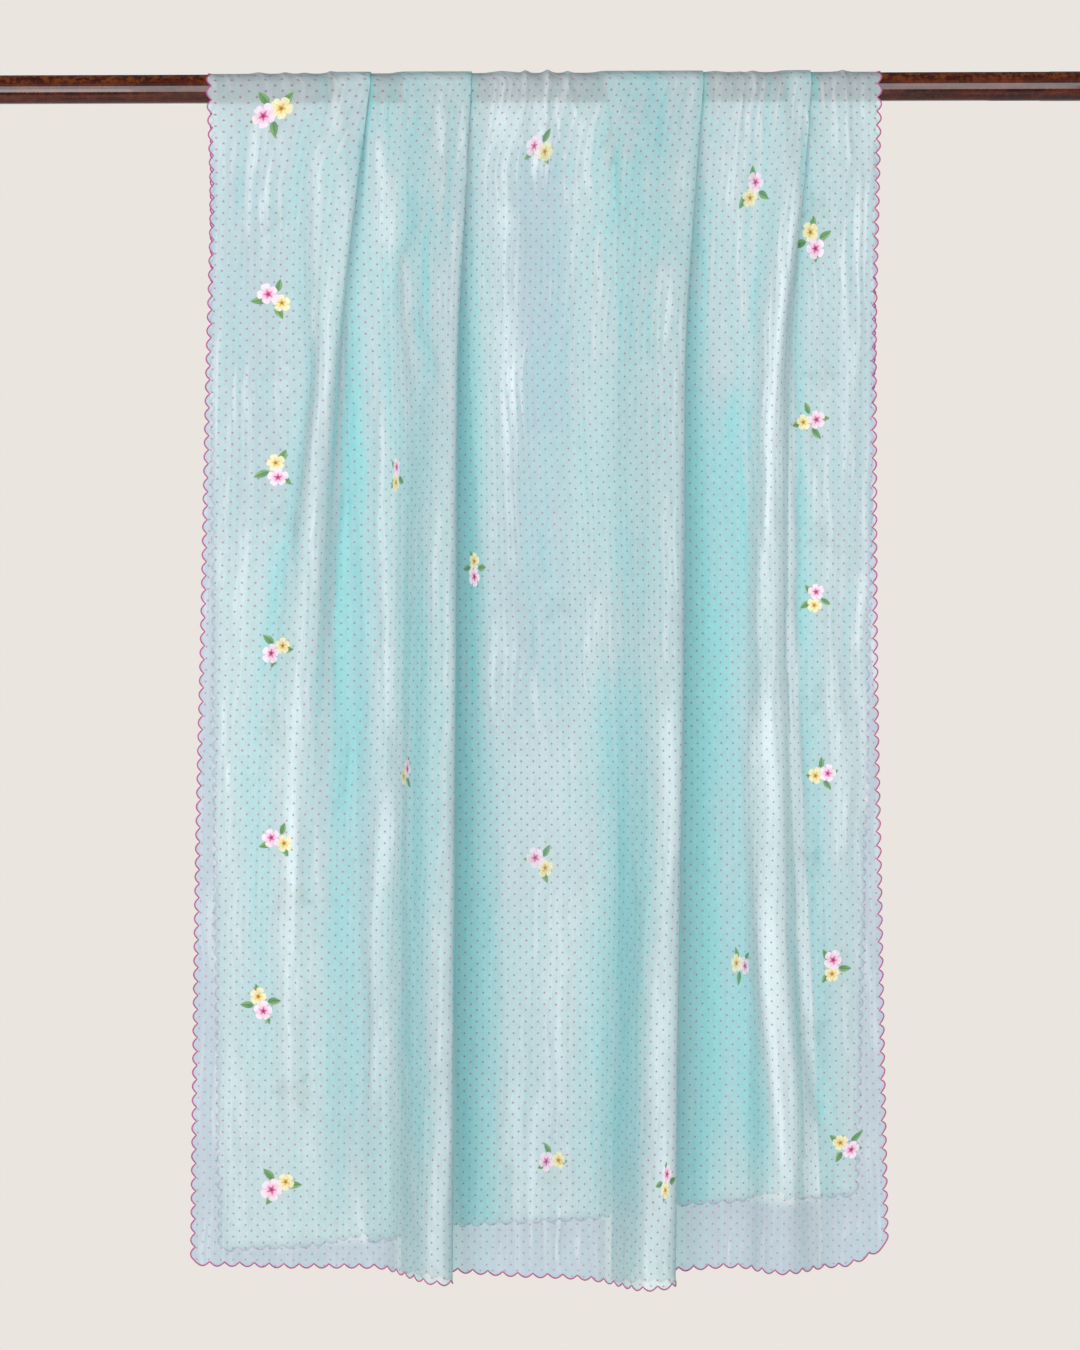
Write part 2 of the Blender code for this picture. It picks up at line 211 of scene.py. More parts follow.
# Creases: soft ridges, or troughs below nought, each with a path like a shade's and a tone that
# mostly paints a ridge paler, as a painted highlight, and a trough deeper, as painted shade
CREASE_COLUMNS = ("width", "height", "tone", "path")
FRONT_CREASES = (
    # beside the left edge
    (5, 1.5, 0.0, ((-285, 0), (-280, 25), (-285, 75), (-280, 125))),
    (5, 2.4, -0.1, ((-260, 0), (-260, 30), (-265, 85))),
    (7, -2.4, 0.25, ((-243, 10), (-243, 120), (-248, 220), (-256, 300))),
    (8, 2.4, -0.15, ((-228, 40), (-230, 140), (-232, 220))),
    (4, 2.2, -0.1, ((-214, 0), (-214, 25), (-218, 70))),
    (14, -2.0, 0.2, ((-308, 70), (-310, 185), (-320, 330))),
    (9, 2.2, -0.1, ((-206, 235), (-217, 310), (-229, 378), (-238, 448), (-242, 518), (-247, 589),
                    (-248, 659))),
    (8, -2.8, 0.45, ((-222, 235), (-234, 310), (-247, 378), (-256, 448), (-268, 518), (-278, 589),
                     (-283, 650))),
    (12, 3.6, -0.15, ((-253, 690), (-260, 800), (-263, 900), (-255, 1020), (-245, 1145))),
    (12, -3.0, 0.15, ((-283, 900), (-281, 1000), (-277, 1100))),
    # from fold a to fold b
    (7, -3.0, 0.2, ((-192, 410), (-204, 470), (-210, 530), (-214, 590))),
    (13, -3.0, 0.08, ((-195, 305), (-197, 490), (-201, 580), (-196, 695), (-203, 800))),
    (13, -2.8, 0.08, ((-203, 800), (-204, 900), (-200, 1020), (-204, 1145))),
    (8, 6.0, -0.4, ((-169, 275), (-163, 350), (-160, 490), (-159, 580), (-162, 695))),
    (8, 5.4, -0.35, ((-162, 695), (-164, 800), (-170, 900), (-171, 1000), (-175, 1110))),
    (8, -3.0, 0.2, ((-179, 615), (-188, 665), (-200, 725), (-206, 785))),
    (9, -3.0, 0.2, ((-200, 1020), (-210, 1120), (-214, 1195))),
    # on fold b
    (6, 3.9, -0.3, ((-139, 165), (-135, 225), (-129, 285), (-126, 325))),
    (5, -3.6, 0.25, ((-130, 225), (-122, 255), (-112, 285), (-104, 320))),
    (8, -3.9, 0.3, ((-139, 95), (-135, 140), (-145, 185), (-151, 255))),
    (4, 2.1, -0.15, ((-132, 570), (-135, 695), (-133, 840), (-131, 1000), (-130, 1120))),
    # from fold b to fold c
    (4, 2.4, -0.1, ((-49, 0), (-45, 30), (-41, 105), (-43, 165))),
    (5, 3.3, -0.2, ((-38, 0), (-37, 40), (-33, 115), (-35, 225))),
    (4, 3.0, -0.2, ((-13, 0), (-16, 27), (-21, 70))),
    (4, 3.6, -0.25, ((9, 0), (8, 22), (6, 60))),
    (4, 2.7, -0.15, ((31, 0), (35, 22), (41, 60), (45, 115))),
    (5, -2.4, 0.15, ((-41, 115), (-35, 165), (-39, 225), (-33, 255))),
    (5, 1.7, -0.35, ((-33, 185), (-34, 285), (-38, 410), (-41, 530), (-45, 635), (-48, 735))),
    (18, -3.9, 0.2, ((6, 70), (5, 225), (6, 430), (8, 570), (5, 695))),
    (16, 3.9, -0.15, ((51, 85), (51, 255), (53, 450), (46, 635), (36, 785))),
    (6, 2.4, -0.1, ((90, 50), (94, 115), (98, 165))),
    (16, 4.5, -0.2, ((51, 695), (46, 815), (26, 920), (16, 1020), (20, 1120))),
    (4, 3.3, -0.25, ((58, 1000), (53, 1040), (51, 1070))),
    (4, 3.9, -0.3, ((26, 1130), (33, 1175), (43, 1215))),
    (4, 3.3, -0.25, ((18, 1145), (16, 1185), (14, 1215))),
    # from fold c to fold d
    (7, 3.0, -0.15, ((130, 175), (126, 245), (122, 350))),
    (4, 3.0, -0.2, ((185, 0), (188, 30), (194, 85), (200, 145))),
    (4, 2.7, -0.2, ((206, 0), (208, 30), (207, 70))),
    (5, 2.4, -0.1, ((221, 0), (226, 30), (234, 70))),
    (9, 1.6, -0.05, ((200, 60), (206, 145), (206, 205), (200, 255))),
    (5, 3.3, -0.2, ((153, 785), (153, 900), (152, 1000), (153, 1120))),
    # fold d and the right side
    (7, 3.9, -0.45, ((265, 70), (255, 185), (245, 285), (236, 390), (227, 490), (220, 615))),
    (8, 4.5, -0.45, ((215, 625), (214, 715), (221, 815), (227, 920), (240, 1050), (257, 1185))),
    (8, -2.6, 0.12, ((283, 85), (289, 155), (296, 235), (302, 325))),
    (10, -2.4, 0.08, ((265, 350), (271, 450), (273, 570), (275, 695), (287, 840), (293, 940))),
    (9, 3.3, -0.2, ((304, 570), (308, 695), (312, 840))),
    (8, -2.7, 0.15, ((251, 840), (265, 940), (281, 1040), (298, 1120))),
    (5, 2.7, -0.15, ((328, 70), (330, 185), (326, 325))),
    (9, 2.7, -0.1, ((318, 165), (316, 285), (318, 430))),
    (4, 2.0, -0.1, ((314, 0), (319, 40), (322, 95))),
)
BACK_CREASES = (
    (5, 2.4, -0.1, ((-290, 0), (-294, 60), (-298, 110))),
    (5, 2.7, -0.15, ((-240, 0), (-238, 60), (-236, 120))),
    (5, 3.0, -0.2, ((-30, 0), (-33, 60), (-38, 110))),
    (4, 2.4, -0.1, ((-12, 0), (-15, 50), (-20, 90))),
    (5, 2.7, -0.15, ((12, 0), (17, 40), (20, 80))),
    (5, 2.7, -0.15, ((206, 0), (210, 60), (214, 120))),
    (5, 2.1, -0.1, ((316, 0), (318, 45), (322, 90))),
    (8, 4.5, -0.3, ((-130, 240), (-122, 380), (-112, 560), (-104, 720))),
    (10, -3.9, 0.25, ((-170, 300), (-166, 480), (-150, 700), (-146, 960))),
    (14, 3.6, -0.2, ((-16, 200), (-4, 360), (6, 540), (2, 700))),
    (12, -3.3, 0.2, ((30, 260), (34, 420), (30, 640))),
    (8, 3.9, -0.25, ((112, 480), (104, 700), (100, 880), (98, 1080))),
    (9, 3.9, -0.25, ((238, 300), (232, 480), (228, 700))),
    (16, 3.6, -0.15, ((-290, 580), (-298, 800), (-294, 980), (-300, 1150))),
    (9, -3.0, 0.2, ((-262, 200), (-272, 380), (-280, 520))),
    (14, 3.3, -0.15, ((300, 480), (306, 700), (304, 900), (310, 1120))),
    (6, 3.0, -0.2, ((30, 820), (22, 960), (18, 1120))),
    (7, -3.0, 0.2, ((196, 760), (204, 900), (200, 1060))),
)
# Stretches of the front where the photo's cloth looks thinner and greyer, painted greyer as
# painted shade: left, right, from and to which drop, share and softness. A share of 0.5 gives
# the whole greyer colour, and 1 would give the bare colour.
THIN_STRETCHES = (
    (-345, -252, 0, 520, 0.55, 30),
    (-40, 33, 30, 700, 0.6, 7),
    (-28, 34, 0, 440, 0.7, 9),
    (150, 204, 250, 1150, 0.5, 8),
    (-216, -172, 230, 1180, 0.5, 12),
    (296, 350, 20, 1180, 0.4, 22),
    (-24, 30, 880, 1190, 0.3, 18),
)
THIN_FADE = 90.0  # drop over which they come and go
# Fine creases: how many, from and to which drop, their lengths, width and height
FINE_CREASES = (
    (60, 0, 30, 40, 160, 2.8, 1.4),
    (90, 20, 460, 60, 240, 3.4, 1.0),
    (80, 420, 1120, 80, 280, 4.6, 1.25),
)
FINE_TONE = -0.2  # painted highlight on a raised crease and painted shade in a trough, for each millimetre of their height
FINE_LEAN, FINE_BOW = 0.07, 0.02  # their spread, as shares of a crease's length
FINE_TROUGHS = 0.4  # the share of them that are troughs
FINE_HEIGHTS, FINE_WIDTHS = (0.4, 1.0), (0.7, 1.4)  # shares of the table's sizes
CREASE_RISE = 0.16  # shares of a crease's length over which it rises and fades
CREASE_FADE = 0.22
CREASE_WOBBLE = 0.25  # of its width, to each side
WOBBLE_RADIANS = 9  # the wobble's phase from a crease's start to its end

# Slow waves that keep the cloth from lying dead flat: wavelength across, down, phase, height
WAVES = (
    (210.0, 900.0, 0.4, 1.2),
    (97.0, 520.0, 2.1, 0.7),
    (61.0, 310.0, 4.0, 0.45),
    (38.0, 210.0, 1.3, 0.25),
)
WAVES_FULL_BY = 220.0

ROWS_NEAR_ROD = 36
NEAR_ROD = 130.0
ROWS_BELOW = 170
TURN_ROWS = 22

FLAT_MAP = "flat"

FOLD_STRETCH = 1.15  # the most that a fold's own layers are stretched on the flat cloth

# Painted shade and highlight across a fold: the colour is painted deeper where shade falls and
# layers stack, most beside its edge, and a little paler on its ridge
RIDGE_HIGHLIGHT = -0.06
FLANK_TONE = 0.12
PLEAT_TONE = 0.2  # on the rod
WEDGE_SHADE = 0.8
WEDGE_REACH = ((0, 7), (420, 38), (900, 56))  # at a drop, of the painted shade beside an edge
TONE_FULL_DEPTH = 36.0  # of a fold
WEDGE_SOFT = 0.6
RIDGE_EASE = 9.0
FOOT_EASE = 14.0
TONE_LOW = -0.5
# Attributes: tone holds the painted shade and highlight, and lone the share of painted light and shade from
# what lies behind
TONE, LONE = "tone", "lone"
LONE_EASE = 6.0  # half the width over which bare cloth begins
LONE_FROM = 60.0  # the drop above which the edges count as backed
LONE_FADES_TONE = 0.75  # how much less painted shade the cloth gets where it is bare
BARE_SIDE, BARE_HEM = 9.0, 13.0  # of the fall behind, where light comes round its edges
ROD_BAND, ROD_EASE, ROD_SHARE = 20.0, 6.0, 0.5  # the sheer cloth is painted greyer over the dark rod, as painted shade
FOLDED_EASE = 10.0


def smooth_between(levels, values, at):
    """A smooth curve through the table's values that never overshoots them."""
    levels = np.asarray(levels, float)
    values = np.asarray(values, float)
    steps = np.diff(levels)
    slopes = np.diff(values) / steps
    tangents = np.zeros(len(levels))
    tangents[0], tangents[-1] = slopes[0], slopes[-1]
    for i in range(1, len(levels) - 1):
        before, after = slopes[i - 1], slopes[i]
        if before * after > 0:
            tangents[i] = 2 * before * after / (before + after)
    at = np.clip(np.asarray(at, float), levels[0], levels[-1])
    i = np.clip(np.searchsorted(levels, at, side="right") - 1, 0, len(steps) - 1)
    t = (at - levels[i]) / steps[i]
    rise = values[i + 1] - values[i]
    cubic = (3 - 2 * t) * t * t
    start = (t - 1) * (t - 1) * t * tangents[i]
    end = (t - 1) * t * t * tangents[i + 1]
    return values[i] + rise * cubic + steps[i] * (start + end)


class Table:
    """A table of rows, read at any drop by the names of its columns."""

    def __init__(self, rows, columns):
        columns = dict(zip(columns, zip(*rows)))
        self.at_drop = np.arange(0.0, TABLE_DROP + 1.0)
        self.curves = {
            name: smooth_between(columns["drop"], values, self.at_drop)
            for name, values in columns.items()
        }

    def column(self, name, drop):
        return np.interp(drop, self.at_drop, self.curves[name])

    def row(self, drop):
        return {name: float(self.column(name, drop)) for name in self.curves}


def toward(start, end, length):
    start = np.asarray(start, float)
    way = np.asarray(end, float) - start
    return start + way * (length / max(np.hypot(*way), 1e-6))


def eased(share):
    """A share from 0 to 1, with a gentle start and end."""
    return share * share * (3 - 2 * share)


def polar(length, way):
    """The place at this length from nought, in the direction of an angle in radians."""
    return np.array([length * math.cos(way), length * math.sin(way)])


def point_at(at, places, points):
    """The point of a line where its places reach this value."""
    return np.array([np.interp(at, places, values) for values in points.T])


def corner(before, at, after):
    """Points round a corner, a quadratic curve between its two legs."""
    cut = ROUNDING * min(math.dist(before, at), math.dist(at, after))
    first, last = toward(at, before, cut), toward(at, after, cut)
    middle = np.asarray(at, float)
    steps = np.linspace(0, 1, CORNER_POINTS)[:, None]
    return list((1 - steps) ** 2 * first + 2 * steps * (1 - steps) * middle + steps**2 * last)


def turn(before, outer, inner, after):
    """A folded edge: a cubic curve whose tip reaches as far as its corners."""
    gap = math.dist(outer, inner)
    lead = min(gap, TURN_REACH * math.dist(before, outer))
    trail = min(gap, TURN_REACH * math.dist(inner, after))
    way = 1 if outer[0] > before[0] else -1
    push = np.array([way * (lead + trail) / 8, 0.0])
    controls = (
        toward(outer, before, lead) + push / 3,
        np.asarray(outer, float) + push,
        np.asarray(inner, float) + push,
        toward(inner, after, trail) + push / 3,
    )
    t = np.linspace(0, 1, TURN_POINTS)[:, None]
    shares = ((1 - t) ** 3, 3 * t * (1 - t) ** 2, 3 * t * t * (1 - t), t**3)
    return list(sum(share * control for share, control in zip(shares, controls)))


def between(start, end, count):
    """Points spread evenly between two others, without them."""
    start, end = np.asarray(start, float), np.asarray(end, float)
    return [start + (end - start) * i / (count + 1) for i in range(1, count + 1)]


def fold_corners(fold, drop):
    """The corners of one fold's section, as (x, out), in order along the cloth.

    foot, crest, folded edge (outer and inner), hidden turn (heel and toe) and land.
    """
    opened = min(drop / LAYERS_OPEN_BY, 1.0)
    share = {
        name: LAYERS_ON_ROD[name] * (1 - opened) + LAYERS_HANGING[name] * opened
        for name in LAYERS_ON_ROD
    }
    depth, edge, back = fold["depth"], fold["edge"], fold["back"]
    slope = OPEN_SLOPE * max(back - edge, 0.0)
    return [
        (fold["foot"], 0.0),
        (fold["crest"], depth),
        (edge, depth),
        (edge + slope, share["nose"] * depth),
        (back, share["heel"] * depth),
        (back + slope, share["toe"] * depth),
        (fold["land"], 0.0),
    ]


def arc_lengths(points):
    steps = np.hypot(*np.diff(points, axis=0).T)
    return np.concatenate([[0.0], np.cumsum(steps)])


def blurred(points, blur):
    """The line with its corners softened: a Gaussian blur along its own length."""
    arcs = arc_lengths(points)
    count = max(int(arcs[-1] / BLUR_STEP), BLUR_LEAST_STEPS)
    even = np.linspace(0, arcs[-1], count + 1)
    reach = max(int(BLUR_REACH * blur / BLUR_STEP), 1)
    kernel = np.exp(-0.5 * (np.arange(-reach, reach + 1) * BLUR_STEP / blur) ** 2)
    kernel /= kernel.sum()
    softened = []
    for values in points.T:
        line = np.interp(even, arcs, values)
        before = 2 * line[0] - line[reach:0:-1]
        after = 2 * line[-1] - line[-2 : -reach - 2 : -1]
        smooth = np.convolve(np.concatenate([before, line, after]), kernel, mode="valid")
        softened.append(np.interp(arcs, even, smooth))
    return np.array(softened).T


def fine_creases(seed, sides):
    """Small uneven creases all over a fall, closer and shorter near the rod."""
    hand = np.random.default_rng(seed)
    rows = []
    for count, top, bottom, shortest, longest, width, height in FINE_CREASES:
        for _ in range(count):
            drop = hand.uniform(top, bottom)
            length = hand.uniform(shortest, longest)
            x = hand.uniform(sides[0] + MARGIN, sides[1] - MARGIN)
            lean = hand.normal(0.0, FINE_LEAN)
            bow = hand.normal(0.0, FINE_BOW)
            way = -1 if hand.random() < FINE_TROUGHS else 1
            size = way * height * hand.uniform(*FINE_HEIGHTS)
            path = tuple(
                (x + length * (lean * t + bow * math.sin(math.pi * t)), drop + length * t)
                for t in (0.0, 0.5, 1.0)
            )
            rows.append((width * hand.uniform(*FINE_WIDTHS), size, FINE_TONE * size, path))
    return rows


class Drape:
    """One fall's form: the cloth's line across its width at any drop."""

    def __init__(self, folds, sides, hem, shades, creases, outward, wave_phase, seed):
        self.folds = [Table(rows, FOLD_COLUMNS) for rows in folds.values()]
        self.sides = Table(sides, SIDE_COLUMNS)
        self.softness = Table(SOFTNESS, SOFTNESS_COLUMNS)
        self.hem = tuple(zip(*hem))
        self.creases = [dict(zip(SHADE_COLUMNS, row), height=0.0) for row in shades]
        raised = [*creases, *fine_creases(seed, sides[0][1:])]
        self.creases += [dict(zip(CREASE_COLUMNS, row)) for row in raised]
        self.outward = outward
        self.down = 1 if outward < 0 else -1
        self.wave_phase = wave_phase
        self.kept = {}
        self.panels, self.hidden, self.marks = [], [], []
        arcs = self.shape(TABLE_DROP)[1]
        self.anchor_flat = [arcs[column] for column in self.panels]

    def corners_line(self, drop):
        """The line through the folds' rounded corners. Notes its panels, hidden layers and marks."""
        side = self.sides.row(drop)
        left = (side["left"] + MARGIN, 0.0)
        right = (side["right"] - MARGIN, 0.0)
        corners = [fold_corners(fold.row(drop), drop) for fold in self.folds]
        next_feet = [fold[0] for fold in corners[1:]] + [right]
        points = [(side["left"], 0.0), left]
        panels, hidden, marks = [0], [], []
        for i, (fold, next_foot) in enumerate(zip(corners, next_feet)):
            foot, crest, outer, inner, heel, toe, land = fold
            foot_step = corner(points[-1], foot, crest)
            count = GATHER_POINTS if i == GATHERED_PANEL else PANEL_POINTS
            if i:
                panels.append(len(points) + count // 2)
            points += between(points[-1], foot_step[0], count)
            mark = [len(points)]
            points += foot_step
            turns = []
            for piece, folded in (
                (corner(foot, crest, outer), False),
                (turn(crest, outer, inner, heel), True),
                (turn(inner, heel, toe, land), True),
                (corner(toe, land, next_foot), False),
            ):
                points += between(points[-1], piece[0], LEG_POINTS)
                if folded:
                    turns.append(len(points) + TURN_POINTS // 2)
                mark.append(len(points) + len(piece) // 2)
                points += piece
            hidden.append(tuple(turns))
            marks.append(mark[:3])
        points += between(points[-1], right, PANEL_POINTS)
        points += [right, (side["right"], 0.0)]
        panels.append(len(points) - 1)
        self.panels, self.hidden, self.marks = panels, hidden, marks
        return np.array([tuple(point) for point in points])

    def creased(self, x, drop, value):
        """The sum of the creases' height, or of their tone of painted shade and highlight, over places
        across the cloth.
        """
        total = np.zeros(len(x))
        for crease in self.creases:
            places, drops = zip(*crease["path"])
            along = (drop - drops[0]) / (drops[-1] - drops[0])
            if not 0 <= along < 1:
                continue
            middle = smooth_between(drops, places, drop)
            middle += CREASE_WOBBLE * crease["width"] * math.sin(WOBBLE_RADIANS * along + places[0])
            rise = along / CREASE_RISE if drops[0] > 0 else 1.0
            swell = eased(min(1.0, rise, (1 - along) / CREASE_FADE))
            total += crease[value] * swell * np.exp(-(((x - middle) / crease["width"]) ** 2))
        return total

    def waves(self, x, drop):
        height = np.zeros(len(x))
        full = min(drop / WAVES_FULL_BY, 1.0)
        for across, down, phase, size in WAVES:
            turning = 2 * math.pi * drop / down + phase + self.wave_phase
            height += full * size * np.sin(2 * math.pi * x / across + turning)
        return height

    def shape(self, drop):
        """(points, their arc lengths) of the cloth's line at this drop."""
        key = round(drop, 2)
        if key not in self.kept:
            points = self.corners_line(drop)
            points = blurred(points, self.softness.row(drop)["blur"])
            across = points[:, 0]
            points[:, 1] += self.creased(across, drop, "height") + self.waves(across, drop)
            self.kept[key] = (points, arc_lengths(points))
        return self.kept[key]

    def flat_across(self, drop):
        """Each column's place across the flat cloth.

        Panels and folded edges keep true scale down the cloth, each from its own anchor, and
        the hidden layers take up the rest. Where a fold has opened, its panels share what the
        layers can't take up.
        """
        arcs = self.shape(drop)[1]
        flat = np.empty(len(arcs))
        starts = [0] + [heel for _, heel in self.hidden]
        ends = [edge for edge, _ in self.hidden] + [len(arcs) - 1]
        for start, end, anchor, at in zip(starts, ends, self.panels, self.anchor_flat):
            flat[start : end + 1] = at + arcs[start : end + 1] - arcs[anchor]
        for i, (edge, heel) in enumerate(self.hidden):
            left, right = self.panels[i], self.panels[i + 1]
            needed, hidden = flat[heel] - flat[edge], arcs[heel] - arcs[edge]
            excess = needed - min(max(needed, hidden / FOLD_STRETCH), hidden * FOLD_STRETCH)
            spread = excess / (arcs[edge] - arcs[left] + arcs[right] - arcs[heel])
            flat[left : edge + 1] += spread * (arcs[left : edge + 1] - arcs[left])
            flat[heel : right + 1] -= spread * (arcs[right] - arcs[heel : right + 1])
        for edge, heel in self.hidden:
            share = (arcs[edge : heel + 1] - arcs[edge]) / (arcs[heel] - arcs[edge])
            flat[edge : heel + 1] = flat[edge] + (flat[heel] - flat[edge]) * share
        return flat

    def painted_shading(self, drop):
        """Each column's painted shade: most beside a fold's edge, least on its ridge, which gets a slight
        painted highlight.
        """
        points, arcs = self.shape(drop)
        x = points[:, 0]
        opened = min(drop / LAYERS_OPEN_BY, 1.0)
        ridge, flank = RIDGE_HIGHLIGHT * opened, PLEAT_TONE + (FLANK_TONE - PLEAT_TONE) * opened
        reach = np.interp(drop, *zip(*WEDGE_REACH))
        share = self.creased(x, drop, "tone")
        for fold, (foot, crest, edge), (_, heel) in zip(self.folds, self.marks, self.hidden):
            depth = max(fold.row(drop)["depth"], TONE_FULL_DEPTH * (1 - opened))
            deep = min(depth / TONE_FULL_DEPTH, 1.0)
            knots = (
                (arcs[foot] - FOOT_EASE, 0.0),
                (arcs[foot] + FOOT_EASE, flank),
                (arcs[crest] - RIDGE_EASE, flank),
                (arcs[crest], ridge),
                (max(arcs[edge] - RIDGE_EASE, arcs[crest] + 1.0), ridge),
                (arcs[edge] + RIDGE_EASE, WEDGE_SHADE),
            )
            places, values = zip(*knots)
            places = np.maximum.accumulate(places)
            share[:heel] += deep * np.interp(arcs[:heel], places, values, 0.0, 0.0)
            wedge = np.clip((1 - (x[heel:] - x[edge]) / reach) / WEDGE_SOFT, 0, 1)
            share[heel:] += WEDGE_SHADE * deep * eased(wedge)
        return np.clip(share, TONE_LOW, 1.0)

    def place(self, x, out, drop):
        """World millimetres of a point of the line at this drop of the tables."""
        full = smooth_between(*self.hem, x)
        reach = ROD_RADIUS + CLOTH_LIFT + out
        return np.stack([x, self.outward * reach, -drop / TABLE_DROP * full], axis=-1)

    def at_arc(self, drop, arc):
        points, arcs = self.shape(drop)
        return self.place(*point_at(arc, arcs, points), drop)


def link(name, data):
    """An object of the scene with this mesh, light or camera."""
    obj = bpy.data.objects.new(name, data)
    bpy.context.scene.collection.objects.link(obj)
    return obj


def make_object(name, points, faces, material, flat=None):
    """A smooth mesh from millimetres, with its places on the flat cloth if it has them."""
    mesh = bpy.data.meshes.new(name)
    mesh.from_pydata((np.array(points) * MM).tolist(), [], faces)
    if flat is not None:
        corners = (np.array(flat) * MM)[[i for face in faces for i in face]]
        mesh.uv_layers.new(name=FLAT_MAP).data.foreach_set("uv", corners.ravel())
    mesh.materials.append(material)
    mesh.shade_smooth()
    return link(name, mesh)


class Sheet:
    """A sheet of cloth as points, faces and each point's place on the flat cloth."""

    def __init__(self):
        self.points, self.flat, self.tones, self.faces = [], [], [], []

    def add(self, point, flat, tone=0.0):
        self.points.append(tuple(point))
        self.flat.append(tuple(flat))
        self.tones.append(tone)
        return len(self.points) - 1

    def add_grid(self, rows, flats, tones):
        grid = [
            [self.add(*point) for point in zip(row, flat, tone)]
            for row, flat, tone in zip(rows, flats, tones)
        ]
        for upper, lower in zip(grid, grid[1:]):
            for i in range(len(upper) - 1):
                self.faces.append((upper[i], lower[i], lower[i + 1], upper[i + 1]))
        return grid

    def fill(self, outline):
        """Triangles inside a closed outline, a list of (flat place, point's number)."""
        flat = [Vector(place) for place, _ in outline]
        filled = delaunay_2d_cdt(flat, [], [list(range(len(flat)))], 1, 1e-6)
        sources = [ids[0] for ids in filled[3]]
        for triangle in filled[2]:
            self.faces.append(tuple(outline[sources[i]][1] for i in reversed(triangle)))

    def to_object(self, name, material, flipped, lone):
        """The sheet as an object. Its painted face looks away from the rod."""
        faces = [face[::-1] for face in self.faces] if flipped else self.faces
        obj = make_object(name, self.points, faces, material, self.flat)
        alone = lone(np.array(self.points))
        tones = np.array(self.tones) * (1 - LONE_FADES_TONE * np.clip(2 * alone - 1, 0, 1))
        for attribute, values in ((TONE, tones), (LONE, alone)):
            obj.data.attributes.new(attribute, "FLOAT", "POINT").data.foreach_set("value", values)
        return obj


def scallop_inset(along, pitch):
    """How far inside the scallops' tips the edge lies, with a sharp notch at each pitch."""
    return SCALLOP_DEPTH * (1 - abs(math.sin(math.pi * along / pitch)))


def scallops(length, pitch):
    """The places along an edge where its outline turns, and the fitted pitch."""
    count = max(1, round(length / pitch))
    total = count * SCALLOP_STEPS
    return [length * i / total for i in range(total + 1)], length / count


def thinly_covered(rows, points):
    """How much of the greyer colour, painted shade, the thin stretches give each point."""
    x, drop = points[:, 0], -points[:, 2]
    share = np.zeros(len(points))
    for left, right, top, bottom, most, soft in rows:
        across = np.minimum(x - left, right - x) / soft
        down = np.minimum(drop - top, bottom - drop) / THIN_FADE
        inside = np.clip(0.5 + 0.5 * across, 0, 1) * np.clip(down, 0, 1)
        share = np.maximum(share, most * inside)
    return share


def uncovered(own, behind, thin, points):
    """A share of painted light and shade: 1 where neither the other fall nor a fold backs a point, less over
    the rod or where thin.
    """
    x, drop = points[:, 0], -points[:, 2]
    hem = smooth_between(*behind.hem, x)
    level = np.clip(drop / hem * TABLE_DROP, 0, TABLE_DROP)
    left, right = (behind.sides.column(side, level) for side in ("left", "right"))
    beside = np.minimum(x - left, right - x) - BARE_SIDE
    inside = np.minimum(beside, hem - drop - BARE_HEM)
    inside[drop < LONE_FROM] = LONE_EASE
    bare = np.clip(0.5 - 0.5 * inside / LONE_EASE, 0, 1)
    own_level = np.clip(drop / smooth_between(*own.hem, x) * TABLE_DROP, 0, TABLE_DROP)
    folded = np.zeros(len(points))
    for fold in own.folds:
        back, edge = (fold.column(part, own_level) for part in ("back", "edge"))
        within = np.minimum(x - back, edge - x) / FOLDED_EASE
        folded = np.maximum(folded, np.clip(0.5 + within, 0, 1))
    on_rod = ROD_SHARE * np.clip((ROD_BAND - drop) / ROD_EASE, 0, 1)
    return np.maximum.reduce([bare, thinly_covered(thin, points), on_rod]) * (1 - folded)


